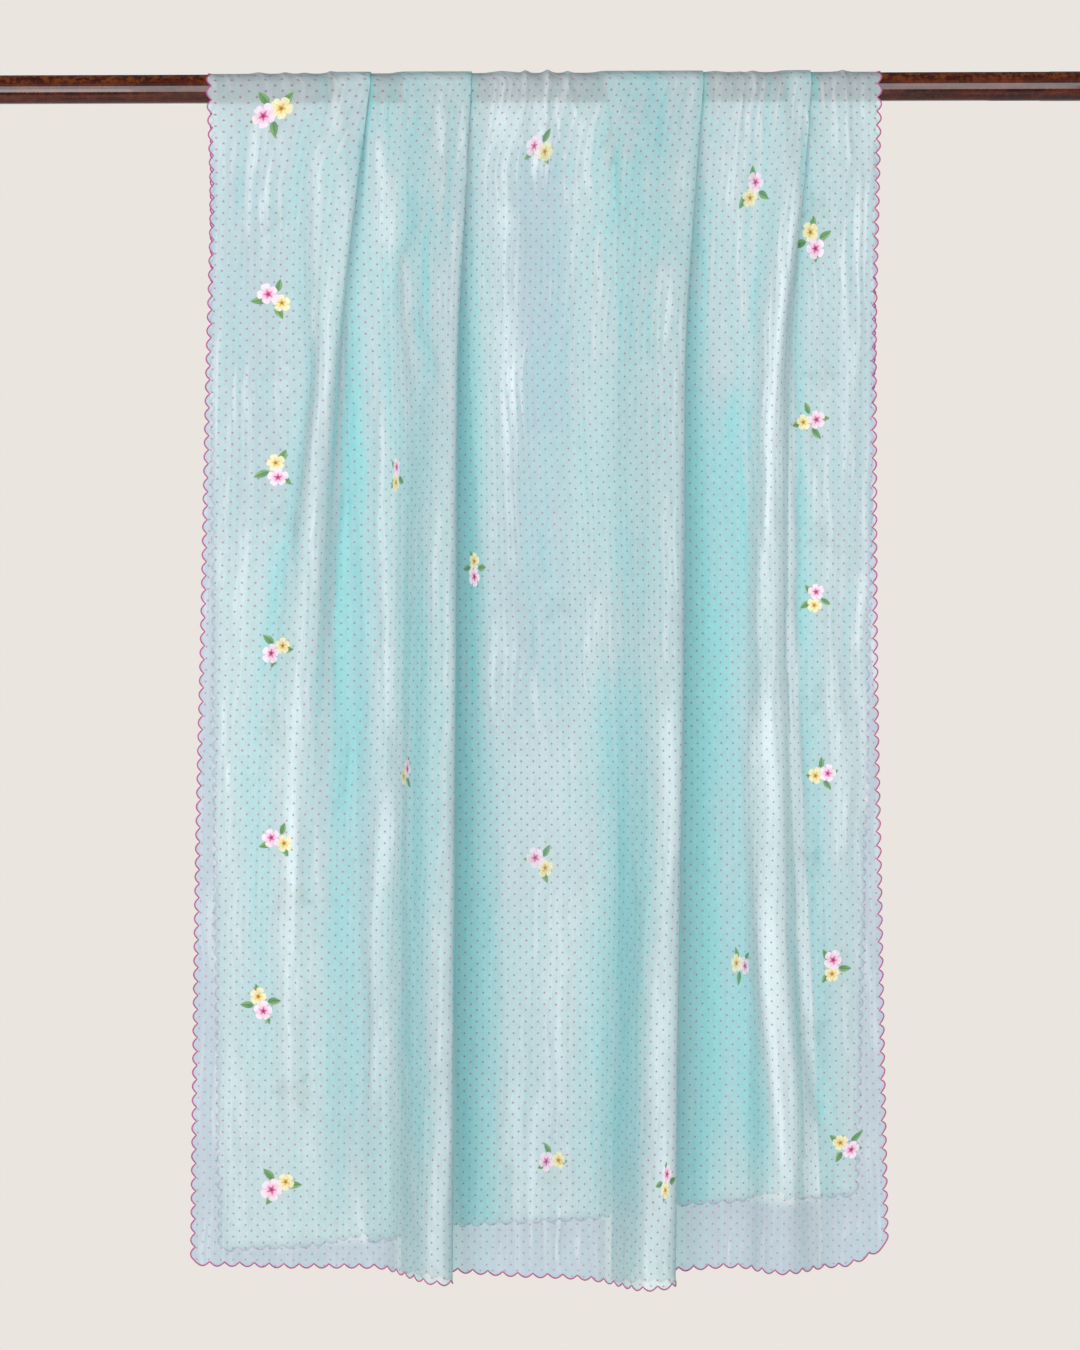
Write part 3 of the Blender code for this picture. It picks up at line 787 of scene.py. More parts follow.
def make_fall(name, drape, material, lone):
    """A hanging sheet from the rod to its scalloped hem, and the line of its edge."""
    sheet = Sheet()
    drops = np.concatenate(
        [
            np.linspace(0, NEAR_ROD, ROWS_NEAR_ROD, endpoint=False),
            np.linspace(NEAR_ROD, TABLE_DROP - MARGIN, ROWS_BELOW),
        ]
    )

    def flat_of(across, point):
        return (across, -point[2] * drape.down)

    rows, flats, tones = [], [], []
    for drop in drops:
        tones.append(drape.painted_shading(drop)[1:-1])
        points, _ = drape.shape(drop)
        row = drape.place(points[1:-1, 0], points[1:-1, 1], drop)
        rows.append(row)
        across = drape.flat_across(drop)[1:-1]
        flats.append([flat_of(*pair) for pair in zip(across, row)])
    grid = sheet.add_grid(rows, flats, tones)

    arcs = drape.shape(TABLE_DROP)[1]
    width = arcs[-1]
    side_places, side_pitch = scallops(TABLE_DROP - SCALLOP_DEPTH, SIDE_SCALLOP)
    left, right = [], []
    for drop in side_places:
        inset = scallop_inset(drop, side_pitch)
        here = drape.shape(drop)[1][-1]
        for edge, arc, flat in ((left, inset, inset), (right, here - inset, width - inset)):
            point = drape.at_arc(drop, arc)
            edge.append(((flat, drop), sheet.add(point, flat_of(flat, point))))

    hem_places, hem_pitch = scallops(width - 2 * SCALLOP_DEPTH, HEM_SCALLOP)
    hem_arcs = [along + SCALLOP_DEPTH for along in hem_places[1:-1]]
    columns = list(arcs[2:-2])
    free = [arc for arc in hem_arcs if min(abs(arc - column) for column in columns) > NEAR]
    bottom = []
    for arc in sorted(free + columns):
        drop = TABLE_DROP - scallop_inset(arc - SCALLOP_DEPTH, hem_pitch)
        here_arcs = drape.shape(drop)[1]
        here = arc * here_arcs[-1] / width
        point = drape.at_arc(drop, here)
        across = np.interp(here, here_arcs, drape.flat_across(drop))
        tone = np.interp(here, here_arcs, drape.painted_shading(drop))
        bottom.append(((arc, drop), sheet.add(point, flat_of(across, point), tone)))

    near_right = [((width - MARGIN, drop), row[-1]) for drop, row in zip(drops, grid)]
    last_row = [((arc, drops[-1]), number) for arc, number in zip(columns, grid[-1][1:-1])]
    near_left = [((MARGIN, drop), row[0]) for drop, row in zip(drops, grid)]
    edge = left + bottom + right[::-1]
    sheet.fill(edge + near_right + last_row[::-1] + near_left[::-1])
    obj = sheet.to_object(name, material, flipped=drape.outward > 0, lone=lone)
    line = [sheet.points[number] for _, number in edge]
    return obj, line, Face(drops, rows, flats, drape.outward)


class Face:
    """A fall's outer face, read at any place of the flat cloth."""

    def __init__(self, drops, rows, flats, outward):
        self.drops = np.array(drops)
        self.rows = rows
        self.flats = [np.maximum.accumulate(flat) for flat in np.array(flats)[:, :, 0]]
        self.outward = outward

    def showing(self, x, drop):
        """The place across the flat cloth of the layer that shows at x."""
        i = int(np.searchsorted(self.drops, drop))
        row = self.rows[i]
        crossings = np.nonzero(np.diff(row[:, 0] > x))[0]
        front = max(crossings, key=lambda k: row[k, 1] * self.outward)
        return self.flats[i][front]

    def at(self, across, drop):
        """The point of the face at a place of the flat cloth."""
        i = int(np.clip(np.searchsorted(self.drops, drop) - 1, 0, len(self.drops) - 2))
        share = (drop - self.drops[i]) / (self.drops[i + 1] - self.drops[i])
        upper, lower = (point_at(across, self.flats[k], self.rows[k]) for k in (i, i + 1))
        return upper + (lower - upper) * share


def make_top(name, front, back, material, lone):
    """The cloth's half turn over the rod, and the lines of its two edges."""
    ends = [(drape.shape(0.0)[0], drape.flat_across(0.0), drape.painted_shading(0.0)) for drape in (front, back)]
    round_rod = ROD_RADIUS + CLOTH_LIFT

    def line_at(angle):
        """The cloth's line, its flat places and its tone, part way from front to back."""
        share = 0.5 - 0.5 * math.cos(angle)
        return [start + (end - start) * share for start, end in zip(*ends)]

    def place(x, out, angle):
        reach = round_rod + out
        return (x, -reach * math.cos(angle), reach * math.sin(angle))

    sheet = Sheet()
    angles = [math.pi * i / TURN_ROWS for i in range(TURN_ROWS + 1)]
    rows, flats, tones = [], [], []
    for angle in angles:
        points, across, tone = line_at(angle)
        rows.append([place(x, out, angle) for x, out in points[1:-1]])
        flats.append([(u, -angle * round_rod) for u in across[1:-1]])
        tones.append(tone[1:-1])
    grid = sheet.add_grid(rows, flats, tones)
    places, pitch = scallops(math.pi * round_rod, SIDE_SCALLOP)
    lines = []
    for column, from_left in ((0, True), (-1, False)):
        outline, line = [], []
        for along in places:
            inset = scallop_inset(along, pitch)
            points, across, _ = line_at(along / round_rod)
            arcs = arc_lengths(points)
            arc = inset if from_left else arcs[-1] - inset
            point = place(*point_at(arc, arcs, points), along / round_rod)
            flat = inset if from_left else across[-1] - inset
            outline.append(((inset, along), sheet.add(point, (flat, -along))))
            line.append(point)
        beside = [(MARGIN, angle * round_rod) for angle in angles]
        outline += reversed(list(zip(beside, [row[column] for row in grid])))
        filled = len(sheet.faces)
        sheet.fill(outline)
        if not from_left:
            sheet.faces[filled:] = [face[::-1] for face in sheet.faces[filled:]]
        lines.append(line)
    return sheet.to_object(name, material, flipped=True, lone=lone), lines


def make_thread(name, lines, material):
    """The thread that binds a scalloped edge: a fine round cord along each line."""
    points, faces, places = [], [], []
    for line in lines:
        path = np.array(line)
        ahead = np.gradient(path, axis=0)
        ahead /= np.maximum(np.linalg.norm(ahead, axis=1), 1e-9)[:, None]
        away = np.array([0.0, 1.0, 0.0])
        across = np.cross(ahead, away)
        across /= np.maximum(np.linalg.norm(across, axis=1), 1e-9)[:, None]
        up = np.cross(across, ahead)
        along = arc_lengths(path)
        first = len(points)
        for i, centre in enumerate(path):
            for side in range(THREAD_SIDES):
                angle = 2 * math.pi * side / THREAD_SIDES
                offset = math.cos(angle) * across[i] + math.sin(angle) * up[i]
                points.append(centre + THREAD_RADIUS * offset)
                places.append((along[i], side / THREAD_SIDES * THREAD_ROUND))
        for i in range(len(path) - 1):
            here = first + i * THREAD_SIDES
            for side in range(THREAD_SIDES):
                beside = (side + 1) % THREAD_SIDES
                corner_points = (side, beside, beside + THREAD_SIDES, side + THREAD_SIDES)
                faces.append(tuple(here + number for number in corner_points))
        faces.append(tuple(range(first + THREAD_SIDES - 1, first - 1, -1)))
        last = len(points) - THREAD_SIDES
        faces.append(tuple(range(last, len(points))))
    return make_object(name, points, faces, material, places)


class Nodes:
    """The node tree of a material or the world, built with short calls."""

    def __init__(self, owner, output="OutputMaterial"):
        self.owner = owner
        owner.use_nodes = True
        self.tree = owner.node_tree
        self.tree.nodes.clear()
        self.output = self.add(output)

    def add(self, kind, inputs=(), **settings):
        node = self.tree.nodes.new("ShaderNode" + kind)
        for key, value in settings.items():
            setattr(node, key, value)
        for key, value in dict(inputs).items():
            socket = node.inputs[key]
            if isinstance(value, bpy.types.NodeSocket):
                self.tree.links.new(value, socket)
            else:
                socket.default_value = value
        return node

    def math(self, operation, *values):
        return self.add("Math", dict(enumerate(values)), operation=operation).outputs[0]

    def plus(self, first, second):
        return self.math("ADD", first, second)

    def times(self, first, second):
        return self.math("MULTIPLY", first, second)

    def mix(self, share, first, second):
        """A shader from first to second by share."""
        return self.add("MixShader", {0: share, 1: first, 2: second}).outputs[0]

    def bump(self, height, strength, distance, **more):
        inputs = {"Height": height, "Strength": strength, "Distance": distance, **more}
        return self.add("Bump", inputs).outputs[0]

    def stretched(self, place, scales):
        return self.add("VectorMath", {0: place, 1: scales}, operation="MULTIPLY").outputs[0]

    def shaded(self, colour, scale):
        return self.add("VectorMath", {0: colour, "Scale": scale}, operation="SCALE").outputs[0]

    def solid_place(self):
        return self.add("TexCoord").outputs["Object"]

    def flat_place(self):
        """The place on the flat cloth, whole and as its parts across and down."""
        place = self.add("UVMap", uv_map=FLAT_MAP).outputs[0]
        split = self.add("SeparateXYZ", {"Vector": place}).outputs
        return place, split[0], split[1]

    def blend(self, share, first, second):
        """A colour from first to second by share."""
        return self.add("Mix", {0: share, 6: first, 7: second}, data_type="RGBA").outputs[2]

    def remap(self, value, low, high, to_low, to_high):
        return self.add(
            "MapRange",
            {"Value": value, "From Min": low, "From Max": high, "To Min": to_low, "To Max": to_high},
            interpolation_type="SMOOTHSTEP",
        ).outputs[0]

    def noise(self, vector, scale, detail, roughness):
        values = {"Vector": vector, "Scale": scale, "Detail": detail, "Roughness": roughness}
        return self.add("TexNoise", values).outputs[0]

    def principled(self, colour, roughness, more=()):
        inputs = {"Base Color": colour, "Roughness": roughness, **dict(more)}
        return self.add("BsdfPrincipled", inputs).outputs[0]

    def finish(self, surface):
        self.tree.links.new(surface, self.output.inputs["Surface"])
        return self.owner


def new_material(name):
    return Nodes(bpy.data.materials.new(name))


DOT_ACROSS, DOT_DOWN = 12.6 * MM, 11.9 * MM  # the dots' lattice, with one more in each cell
DOT_RADIUS, DOT_SOFT = 0.95 * MM, 0.35 * MM
THREAD_PITCH = 0.45 * MM  # of the weave

CLOTH = (0.56, 0.645, 0.66, 1)
CLOTH_GREENER = (0.55, 0.67, 0.67, 1)
# The next colour is the painted highlight on ridges and raised creases
CLOTH_PAINTED_HIGHLIGHT = (0.82, 0.90, 0.92, 1)
CLOTH_PAINTED_SHADE = (0.26, 0.665, 0.665, 1)  # painted shade, deeper beside a fold's edge and in hollows, partly where layers stack
CLOTH_GREY_SHADE = (0.50, 0.59, 0.61, 1)  # painted shade, greyer in the thin stretches and over the dark rod
CLOTH_PAINTED_BARE = (0.37, 0.44, 0.53, 1)  # painted light and shade of one layer with no cloth behind it
CLOTH_BEHIND = (0.44, 0.65, 0.66, 1)
CLOTH_TINT = (0.84, 0.94, 1.0, 1)
DOT = (0.36, 0.07, 0.19, 1)
DOT_STRENGTH, DOT_OPACITY = 0.92, 0.9
OPACITY, WEAVE_OPACITY = 0.72, 0.05  # of the cloth, and how far its weave varies that
CRUMPLE_SHADING = 0.22  # the tone of painted sheen and shade in long uneven streaks, standing in for fine crumples catching the light
TRANSLUCENT = 0.25
CLOTH_ROUGHNESS, CLOTH_SHINE = 0.42, 0.42
WEAVE_SHARE = 0.25  # of the cloth's fine relief, and its streaks give the rest
# A name ending in NOISE holds a scale, a detail and a roughness. One ending in RANGE holds
# from, to, and what those become. One ending in BUMP holds a strength and a distance.
STREAK_STRETCH = (1.0, 0.06, 1.0)
STREAK_NOISE, RIPPLE_NOISE, CLOUD_NOISE = (260.0, 3.0, 0.6), (45.0, 2.0, 0.5), (90.0, 4.0, 0.6)
SHADE_RANGE = (0.3, 0.7, 0.94, 1.06)
DRIFT_NOISE, DRIFT_RANGE = (5.0, 1.0, 0.5), (0.35, 0.65, 0.0, 1.0)
WANDER_NOISE, WANDER = (9.0, 1.0, 0.5), 0.022  # how far the painted crumple streaks leave the straight
CRUMPLE_NOISE, CRUMPLE_STRETCH = (105.0, 3.0, 0.6), 0.05
CRUMPLE_RANGE = (0.3, 0.7, CRUMPLE_SHADING, -CRUMPLE_SHADING)
PATCH_NOISE, PATCH_RANGE = (9.0, 2.0, 0.5), (0.4, 0.6, 0.3, 1.2)
HIGHER_RANGE = (0.25, 0.85, 1.2, 0.55)  # the painted crumple shading is stronger near the rod
RIPPLE_BUMP, WEAVE_BUMP = (0.8, 3.0 * MM), (0.4, 1.0 * MM)

THREAD_DARK, THREAD_LIGHT = (0.24, 0.025, 0.12, 1), (0.52, 0.09, 0.28, 1)
STITCH_PITCH, STITCH_SLANT = 0.55 * MM, 0.25
THREAD_NOISE, THREAD_RANGE = (240.0, 2.0, 0.5), (-0.6, 2.6, 0.0, 1.0)
THREAD_UNEVEN = 2.0  # how much the noise counts against the stitches
THREAD_ROUGHNESS, THREAD_SHEEN, THREAD_BUMP = 0.45, 0.2, (0.5, 0.2 * MM)
WOOD_DARK, WOOD_LIGHT = (0.006, 0.0008, 0.0004, 1), (0.07, 0.007, 0.002, 1)
WOOD_SPOTS = (0.14, 0.034, 0.004, 1)
WOOD_STRETCH = (0.12, 1.0, 1.0)
MOTTLE_NOISE, MOTTLE_RANGE = (170.0, 3.0, 0.6), (0.42, 0.62, 0.0, 1.0)
GRAIN_NOISE, GRAIN_RANGE = (120.0, 5.0, 0.7), (0.3, 0.7, 0.0, 1.0)
SPOT_RANGE = (0.0, 10.0 * MM, 0.2, 0.9)  # more spots toward the rod's top
WOOD_ROUGHNESS_RANGE = (0.0, 1.0, 0.35, 0.55)
WOOD_BUMP = (0.12, 0.4 * MM)
LACQUER_IOR, LACQUER_ROUGHNESS = 1.46, 0.05


def dots(nodes, u, v):
    """1 inside each dot of a staggered lattice, with a soft rim."""
    distances = []
    for shift in (0.0, 0.5):
        across = nodes.plus(nodes.math("DIVIDE", u, DOT_ACROSS), shift)
        down = nodes.plus(nodes.math("DIVIDE", v, DOT_DOWN), shift)
        sides = []
        for value, pitch in ((across, DOT_ACROSS), (down, DOT_DOWN)):
            inside = nodes.math("SUBTRACT", nodes.math("FRACT", value), 0.5)
            side = nodes.times(inside, pitch)
            sides.append(nodes.times(side, side))
        distances.append(nodes.math("SQRT", nodes.plus(*sides)))
    nearest = nodes.math("MINIMUM", *distances)
    return nodes.remap(nearest, DOT_RADIUS - DOT_SOFT, DOT_RADIUS + DOT_SOFT, 1.0, 0.0)


def make_chiffon():
    nodes = new_material("aqua_chiffon")
    place, u, v = nodes.flat_place()
    mask = dots(nodes, u, v)

    streaky = nodes.stretched(place, STREAK_STRETCH)
    streaks = nodes.noise(streaky, *STREAK_NOISE)
    ripples = nodes.noise(streaky, *RIPPLE_NOISE)
    clouds = nodes.noise(place, *CLOUD_NOISE)
    uneven = nodes.plus(nodes.times(streaks, 0.5), nodes.times(clouds, 0.5))
    shade = nodes.remap(uneven, *SHADE_RANGE)
    drift = nodes.remap(nodes.noise(place, *DRIFT_NOISE), *DRIFT_RANGE)
    wander = nodes.times(nodes.noise(place, *WANDER_NOISE), WANDER)
    aside = {"X": nodes.plus(u, wander), "Y": nodes.times(v, CRUMPLE_STRETCH)}
    aside = nodes.add("CombineXYZ", aside).outputs[0]
    crumple_shading = nodes.remap(nodes.noise(aside, *CRUMPLE_NOISE), *CRUMPLE_RANGE)
    patches = nodes.remap(nodes.noise(place, *PATCH_NOISE), *PATCH_RANGE)
    higher = nodes.remap(nodes.math("ABSOLUTE", v), *HIGHER_RANGE)
    crumple_shading = nodes.times(crumple_shading, nodes.times(patches, higher))

    turning = 2 * math.pi / THREAD_PITCH
    warp = nodes.math("SINE", nodes.times(u, turning))
    weft = nodes.math("SINE", nodes.times(v, turning))
    weave = nodes.times(warp, weft)
    height = nodes.plus(nodes.times(weave, WEAVE_SHARE), nodes.times(streaks, 1 - WEAVE_SHARE))
    rippled = nodes.bump(ripples, *RIPPLE_BUMP)
    bump = nodes.bump(height, *WEAVE_BUMP, Normal=rippled)

    # The tone attribute and the crumple paint shade as deeper teal and highlights as paler cloth
    tone = nodes.add("Attribute", attribute_name=TONE).outputs["Fac"]
    tone = nodes.plus(tone, crumple_shading)
    # Painted light and shade from what lies behind: greyer over the dark rod and in the thin stretches, and
    # the bare colour where no cloth lies behind
    alone = nodes.add("Attribute", attribute_name=LONE).outputs["Fac"]
    plain = nodes.blend(drift, CLOTH, CLOTH_GREENER)
    doubled = nodes.times(alone, 2.0)
    plain = nodes.blend(doubled, plain, CLOTH_GREY_SHADE)
    plain = nodes.blend(nodes.math("SUBTRACT", doubled, 1.0), plain, CLOTH_PAINTED_BARE)
    shade_painted = nodes.blend(tone, plain, CLOTH_PAINTED_SHADE)
    shade_painted = nodes.blend(nodes.math("DIVIDE", tone, TONE_LOW), shade_painted, CLOTH_PAINTED_HIGHLIGHT)
    colour = nodes.blend(nodes.times(mask, DOT_STRENGTH), nodes.shaded(shade_painted, shade), DOT)
    face = nodes.principled(colour, CLOTH_ROUGHNESS, {"Specular IOR Level": CLOTH_SHINE, "Normal": bump})
    behind = nodes.add("BsdfTranslucent", {"Color": CLOTH_BEHIND, "Normal": bump}).outputs[0]
    open_weave = nodes.add("BsdfTransparent", {"Color": CLOTH_TINT}).outputs[0]
    body = nodes.mix(TRANSLUCENT, face, behind)
    cover = nodes.plus(OPACITY, nodes.times(weave, WEAVE_OPACITY))
    solid = nodes.math("MAXIMUM", cover, nodes.times(mask, DOT_OPACITY))
    return nodes.finish(nodes.mix(solid, open_weave, body))


def make_thread_material():
    nodes = new_material("mauve_thread")
    place, u, v = nodes.flat_place()
    slanted = nodes.plus(u, nodes.times(v, STITCH_SLANT))
    stitches = nodes.math("SINE", nodes.times(slanted, 2 * math.pi / STITCH_PITCH))
    uneven = nodes.noise(place, *THREAD_NOISE)
    # The thread is painted lighter on the stitches' crests, as painted highlight, and lighter or darker at
    # random by the noise
    bright = nodes.remap(nodes.plus(stitches, nodes.times(uneven, THREAD_UNEVEN)), *THREAD_RANGE)
    colour = nodes.blend(bright, THREAD_DARK, THREAD_LIGHT)
    bump = nodes.bump(stitches, *THREAD_BUMP)
    more = {"Sheen Weight": THREAD_SHEEN, "Normal": bump}
    return nodes.finish(nodes.principled(colour, THREAD_ROUGHNESS, more))


# Painted sprigs: a pink flower and a yellow one with leaves. Each row has its place, which way
# the pink flower lies from the middle, in degrees clockwise from the right, its leaves, how
# wide it stands for its height, how well the paint covers and how large it is.
SPRIG_COLUMNS = ("x", "drop", "pink", "leaves", "wide", "cover", "size")
FRONT_SPRIGS = (
    (-270, 28, 156, 4, 0.75, 1.0, 1.1),
    (-270, 221, 215, 3, 1.0, 1.0, 0.92),
    (-269, 399, 80, 3, 1.0, 1.0, 0.88),
    (-269, 585, 150, 3, 1.0, 1.0, 0.88),
    (-268, 782, 200, 3, 1.0, 1.0, 0.88),
    (-283, 952, 70, 4, 1.0, 1.0, 0.9),
    (-270, 1140, 150, 3, 1.0, 1.0, 0.95),
    (285, 162, 70, 4, 1.0, 1.0, 1.0),
    (284, 349, 350, 4, 1.0, 1.0, 0.9),
    (286, 533, 280, 3, 1.0, 1.0, 0.8),
    (290, 715, 350, 4, 1.0, 1.0, 0.8),
    (301, 914, 275, 3, 1.0, 1.0, 0.82),
    (316, 1101, 40, 4, 1.0, 1.0, 0.82),
    (1, 66, 200, 3, 0.85, 0.75, 0.9),
    (221, 110, 290, 3, 0.85, 0.85, 1.0),
    (-143, 404, 280, 3, 0.5, 0.75, 0.9),
    (-60, 499, 90, 4, 0.6, 1.0, 0.9),
    (-136, 710, 330, 3, 0.5, 0.75, 0.9),
    (0, 799, 220, 3, 0.85, 0.75, 0.9),
    (206, 911, 10, 3, 0.6, 0.8, 0.9),
    (11, 1104, 175, 3, 0.8, 0.8, 0.9),
    (128, 1118, 280, 4, 0.5, 0.9, 0.9),
)
BACK_SPRIGS = (
    (-273, 134, 150, 3, 1.0, 0.75, 0.97),
    (-273, 290, 60, 4, 1.0, 0.75, 0.97),
    (-262, 450, 200, 3, 1.0, 0.75, 0.97),
    (-273, 672, 80, 4, 1.0, 0.75, 0.97),
    (-250, 855, 160, 3, 1.0, 1.0, 1.1),
    (-257, 1060, 215, 3, 1.0, 1.0, 1.1),
    (292, 132, 300, 3, 1.0, 0.75, 0.86),
    (298, 314, 350, 4, 1.0, 0.75, 0.86),
    (296, 492, 70, 3, 1.0, 0.75, 0.86),
    (290, 672, 280, 4, 1.0, 0.75, 0.86),
    (280, 849, 10, 3, 1.0, 0.75, 0.86),
    (284, 1036, 60, 4, 1.0, 0.75, 0.86),
    (-113, 194, 200, 3, 1.0, 0.75, 0.9),
    (90, 60, 30, 3, 1.0, 1.0, 1.1),
    (20, 560, 160, 3, 1.0, 0.75, 0.9),
    (-67, 875, 290, 3, 1.0, 1.0, 1.1),
    (118, 960, 80, 3, 1.0, 0.75, 0.9),
)
PINK_RADIUS, YELLOW_RADIUS = 12.2, 11.2
SPRIG_SPREAD = 8.8  # the two flowers' centres stand this far from the middle
PETALS = 5
PETAL_SIZES, PETAL_SHADES = (0.9, 1.06), (-0.12, 0.12)  # how uneven they are
PETAL_NOTCH = 0.36
PETAL_DENT = 0.06
FLOWER_RINGS = (0.0, 0.1, 0.2, 0.32, 0.48, 0.66, 0.84, 1.0)
FLOWER_STEPS = 50
CORE_REACH, OUTER_REACH = 0.12, 0.62  # shares of the radius where the core ends and the rim begins
STAR_REACH, STAR_POINTS = 0.2, 0.2  # between the petals, and how much further along them
PETAL_EDGE = 0.7  # how much of the inner colour comes back between two petals
FLOWER_SIZES, LEAF_SIZES = (0.92, 1.05), (0.85, 1.1)
LEAF_LENGTH, LEAF_WIDTH = 16.5, 7.8
LEAF_STEPS = 9
LEAF_SIDES = (-1.0, -0.5, 0.0, 0.5, 1.0)
LEAF_ROOT_LIGHT, LEAF_LIGHTENS = 0.35, 0.5  # at its root, and by how much toward its tip
LEAF_ROOT = 8.0
LEAF_BEND, LEAF_AIM = 0.16, 0.3  # the most, as a share of its length and in radians
LEAF_SHIFT = 0.15  # the most, as a share of the way to the next leaf
LEAF_OVAL = 0.8
MIDRIB = 0.1
SPRIG_LIFT = 0.3
PAINT_STEP = 0.12  # each flower lies this much further out than the shape before it
PAINT = "paint"
PAINT_OPACITY, PAINT_TRANSLUCENT, PAINT_ROUGHNESS = 0.95, 0.28, 0.6
STROKE_NOISE, STROKE_RANGE = (900.0, 3.0, 0.6), (0.3, 0.7, 0.86, 1.1)
STROKE_BUMP = (0.2, 0.2 * MM)
PINK_PAINT = {
    "core": (0.30, 0.01, 0.10),
    "star": (0.66, 0.07, 0.28),
    "inner": (0.76, 0.40, 0.56),
    "outer": (0.82, 0.69, 0.78),
}
YELLOW_PAINT = {
    "core": (0.34, 0.13, 0.01),
    "star": (0.66, 0.38, 0.04),
    "inner": (0.76, 0.62, 0.26),
    "outer": (0.80, 0.74, 0.47),
}
LEAF_LIGHT, LEAF_DARK = (0.23, 0.42, 0.15), (0.05, 0.18, 0.06)


def mixed(first, second, share):
    share = min(max(share, 0.0), 1.0)
    return tuple(a + (b - a) * share for a, b in zip(first, second))


class Paint:
    """Small painted shapes, flat at first: places on the cloth, colours and faces."""

    def __init__(self):
        self.points, self.colours, self.lifts, self.faces = [], [], [], []
        self.lift = SPRIG_LIFT

    def flower(self, middle, radius, turn, paint, hand):
        """Round petals about a star, with each petal a little uneven."""
        sizes = hand.uniform(*PETAL_SIZES, PETALS)
        shades = hand.uniform(*PETAL_SHADES, PETALS)
        rings = []
        for share in FLOWER_RINGS[1:]:
            ring = []
            for step in range(FLOWER_STEPS):
                angle = 2 * math.pi * step / FLOWER_STEPS
                petal = PETALS * angle / (2 * math.pi)
                swell = abs(math.sin(math.pi * petal))
                number = int(petal) % PETALS
                reach = 1 - PETAL_NOTCH * (1 - swell**0.5) - PETAL_DENT * swell**12
                reach = share * radius * (1 + (reach * sizes[number] - 1) * min(1, 2 * share))
                star = STAR_REACH + STAR_POINTS * swell**3
                if share < CORE_REACH:
                    colour = paint["core"]
                elif share < star:
                    colour = paint["star"]
                else:
                    fade = (share - star) / (OUTER_REACH - star) + shades[number]
                    colour = mixed(paint["inner"], paint["outer"], fade)
                    colour = mixed(colour, paint["inner"], PETAL_EDGE * (1 - swell) ** 3)
                ring.append(self.add(middle + polar(reach, angle + turn), colour))
            rings.append(ring)
        centre = self.add(middle, paint["core"])
        for step in range(FLOWER_STEPS):
            beside = (step + 1) % FLOWER_STEPS
            self.faces.append((centre, rings[0][beside], rings[0][step]))
            for inner, outer in zip(rings, rings[1:]):
                self.faces.append((inner[step], inner[beside], outer[beside], outer[step]))

    def leaf(self, root, way, length, width, hand):
        """A pointed oval with a darker midrib and one darker side."""
        along = polar(1.0, way)
        aside = np.array([-along[1], along[0]])
        bend = hand.uniform(-LEAF_BEND, LEAF_BEND) * length
        rows = []
        for step in range(LEAF_STEPS):
            t = step / (LEAF_STEPS - 1)
            half = 0.5 * width * math.sin(math.pi * t**LEAF_OVAL) ** LEAF_OVAL
            spine = root + along * t * length + aside * bend * t * t
            light = LEAF_ROOT_LIGHT + LEAF_LIGHTENS * t
            shades = (light - 0.35, light - 0.15, MIDRIB, light + 0.2, light)
            row = []
            for side, shade in zip(LEAF_SIDES, shades):
                row.append(self.add(spine + aside * half * side, mixed(LEAF_DARK, LEAF_LIGHT, shade)))
            rows.append(row)
        for upper, lower in zip(rows, rows[1:]):
            for i in range(len(upper) - 1):
                self.faces.append((upper[i], upper[i + 1], lower[i + 1], lower[i]))

    def add(self, place, colour):
        self.points.append(tuple(place))
        self.colours.append(colour)
        self.lifts.append(self.lift)
        return len(self.points) - 1


def paint_sprig(paint, row, hand):
    """One sprig about (0, 0), right and down in millimetres."""
    way = math.radians(row["pink"])
    for i in range(row["leaves"]):
        out = way + math.pi * (0.5 + 2 * (i + hand.uniform(-LEAF_SHIFT, LEAF_SHIFT)) / row["leaves"])
        size = hand.uniform(*LEAF_SIZES)
        aim = out + hand.uniform(-LEAF_AIM, LEAF_AIM)
        paint.leaf(polar(LEAF_ROOT, out), aim, size * LEAF_LENGTH, size * LEAF_WIDTH, hand)
    for side, radius, colours in ((-1, YELLOW_RADIUS, YELLOW_PAINT), (1, PINK_RADIUS, PINK_PAINT)):
        middle = polar(side * SPRIG_SPREAD, way)
        paint.lift += PAINT_STEP
        size = radius * hand.uniform(*FLOWER_SIZES)
        paint.flower(middle, size, hand.uniform(0, 2 * math.pi), colours, hand)


def make_sprigs(name, face, rows, material, seed):
    """All of a fall's sprigs, laid on its outer face."""
    hand = np.random.default_rng(seed)
    points, colours, lifts, faces = [], [], [], []
    for values in rows:
        row = dict(zip(SPRIG_COLUMNS, values))
        paint = Paint()
        paint_sprig(paint, row, hand)
        across = face.showing(row["x"], row["drop"])
        first = len(points)
        tall, wide = row["size"], row["size"] * row["wide"]
        points += [face.at(across + wide * u, row["drop"] + tall * v) for u, v in paint.points]
        colours += [(*colour, row["cover"]) for colour in paint.colours]
        lifts += paint.lifts
        faces += [tuple(first + i for i in corners) for corners in paint.faces]
    if face.outward > 0:
        faces = [corners[::-1] for corners in faces]
    obj = make_object(name, points, faces, material)
    mesh = obj.data
    tints = mesh.attributes.new(PAINT, "FLOAT_COLOR", "POINT")
    tints.data.foreach_set("color", [part for colour in colours for part in colour])
    normals = np.empty(len(points) * 3, np.float32)
    mesh.vertex_normals.foreach_get("vector", normals)
    lifted = (np.array(points) + np.array(lifts)[:, None] * normals.reshape(-1, 3)) * MM
    mesh.vertices.foreach_set("co", lifted.ravel())
    mesh.update()
    return obj


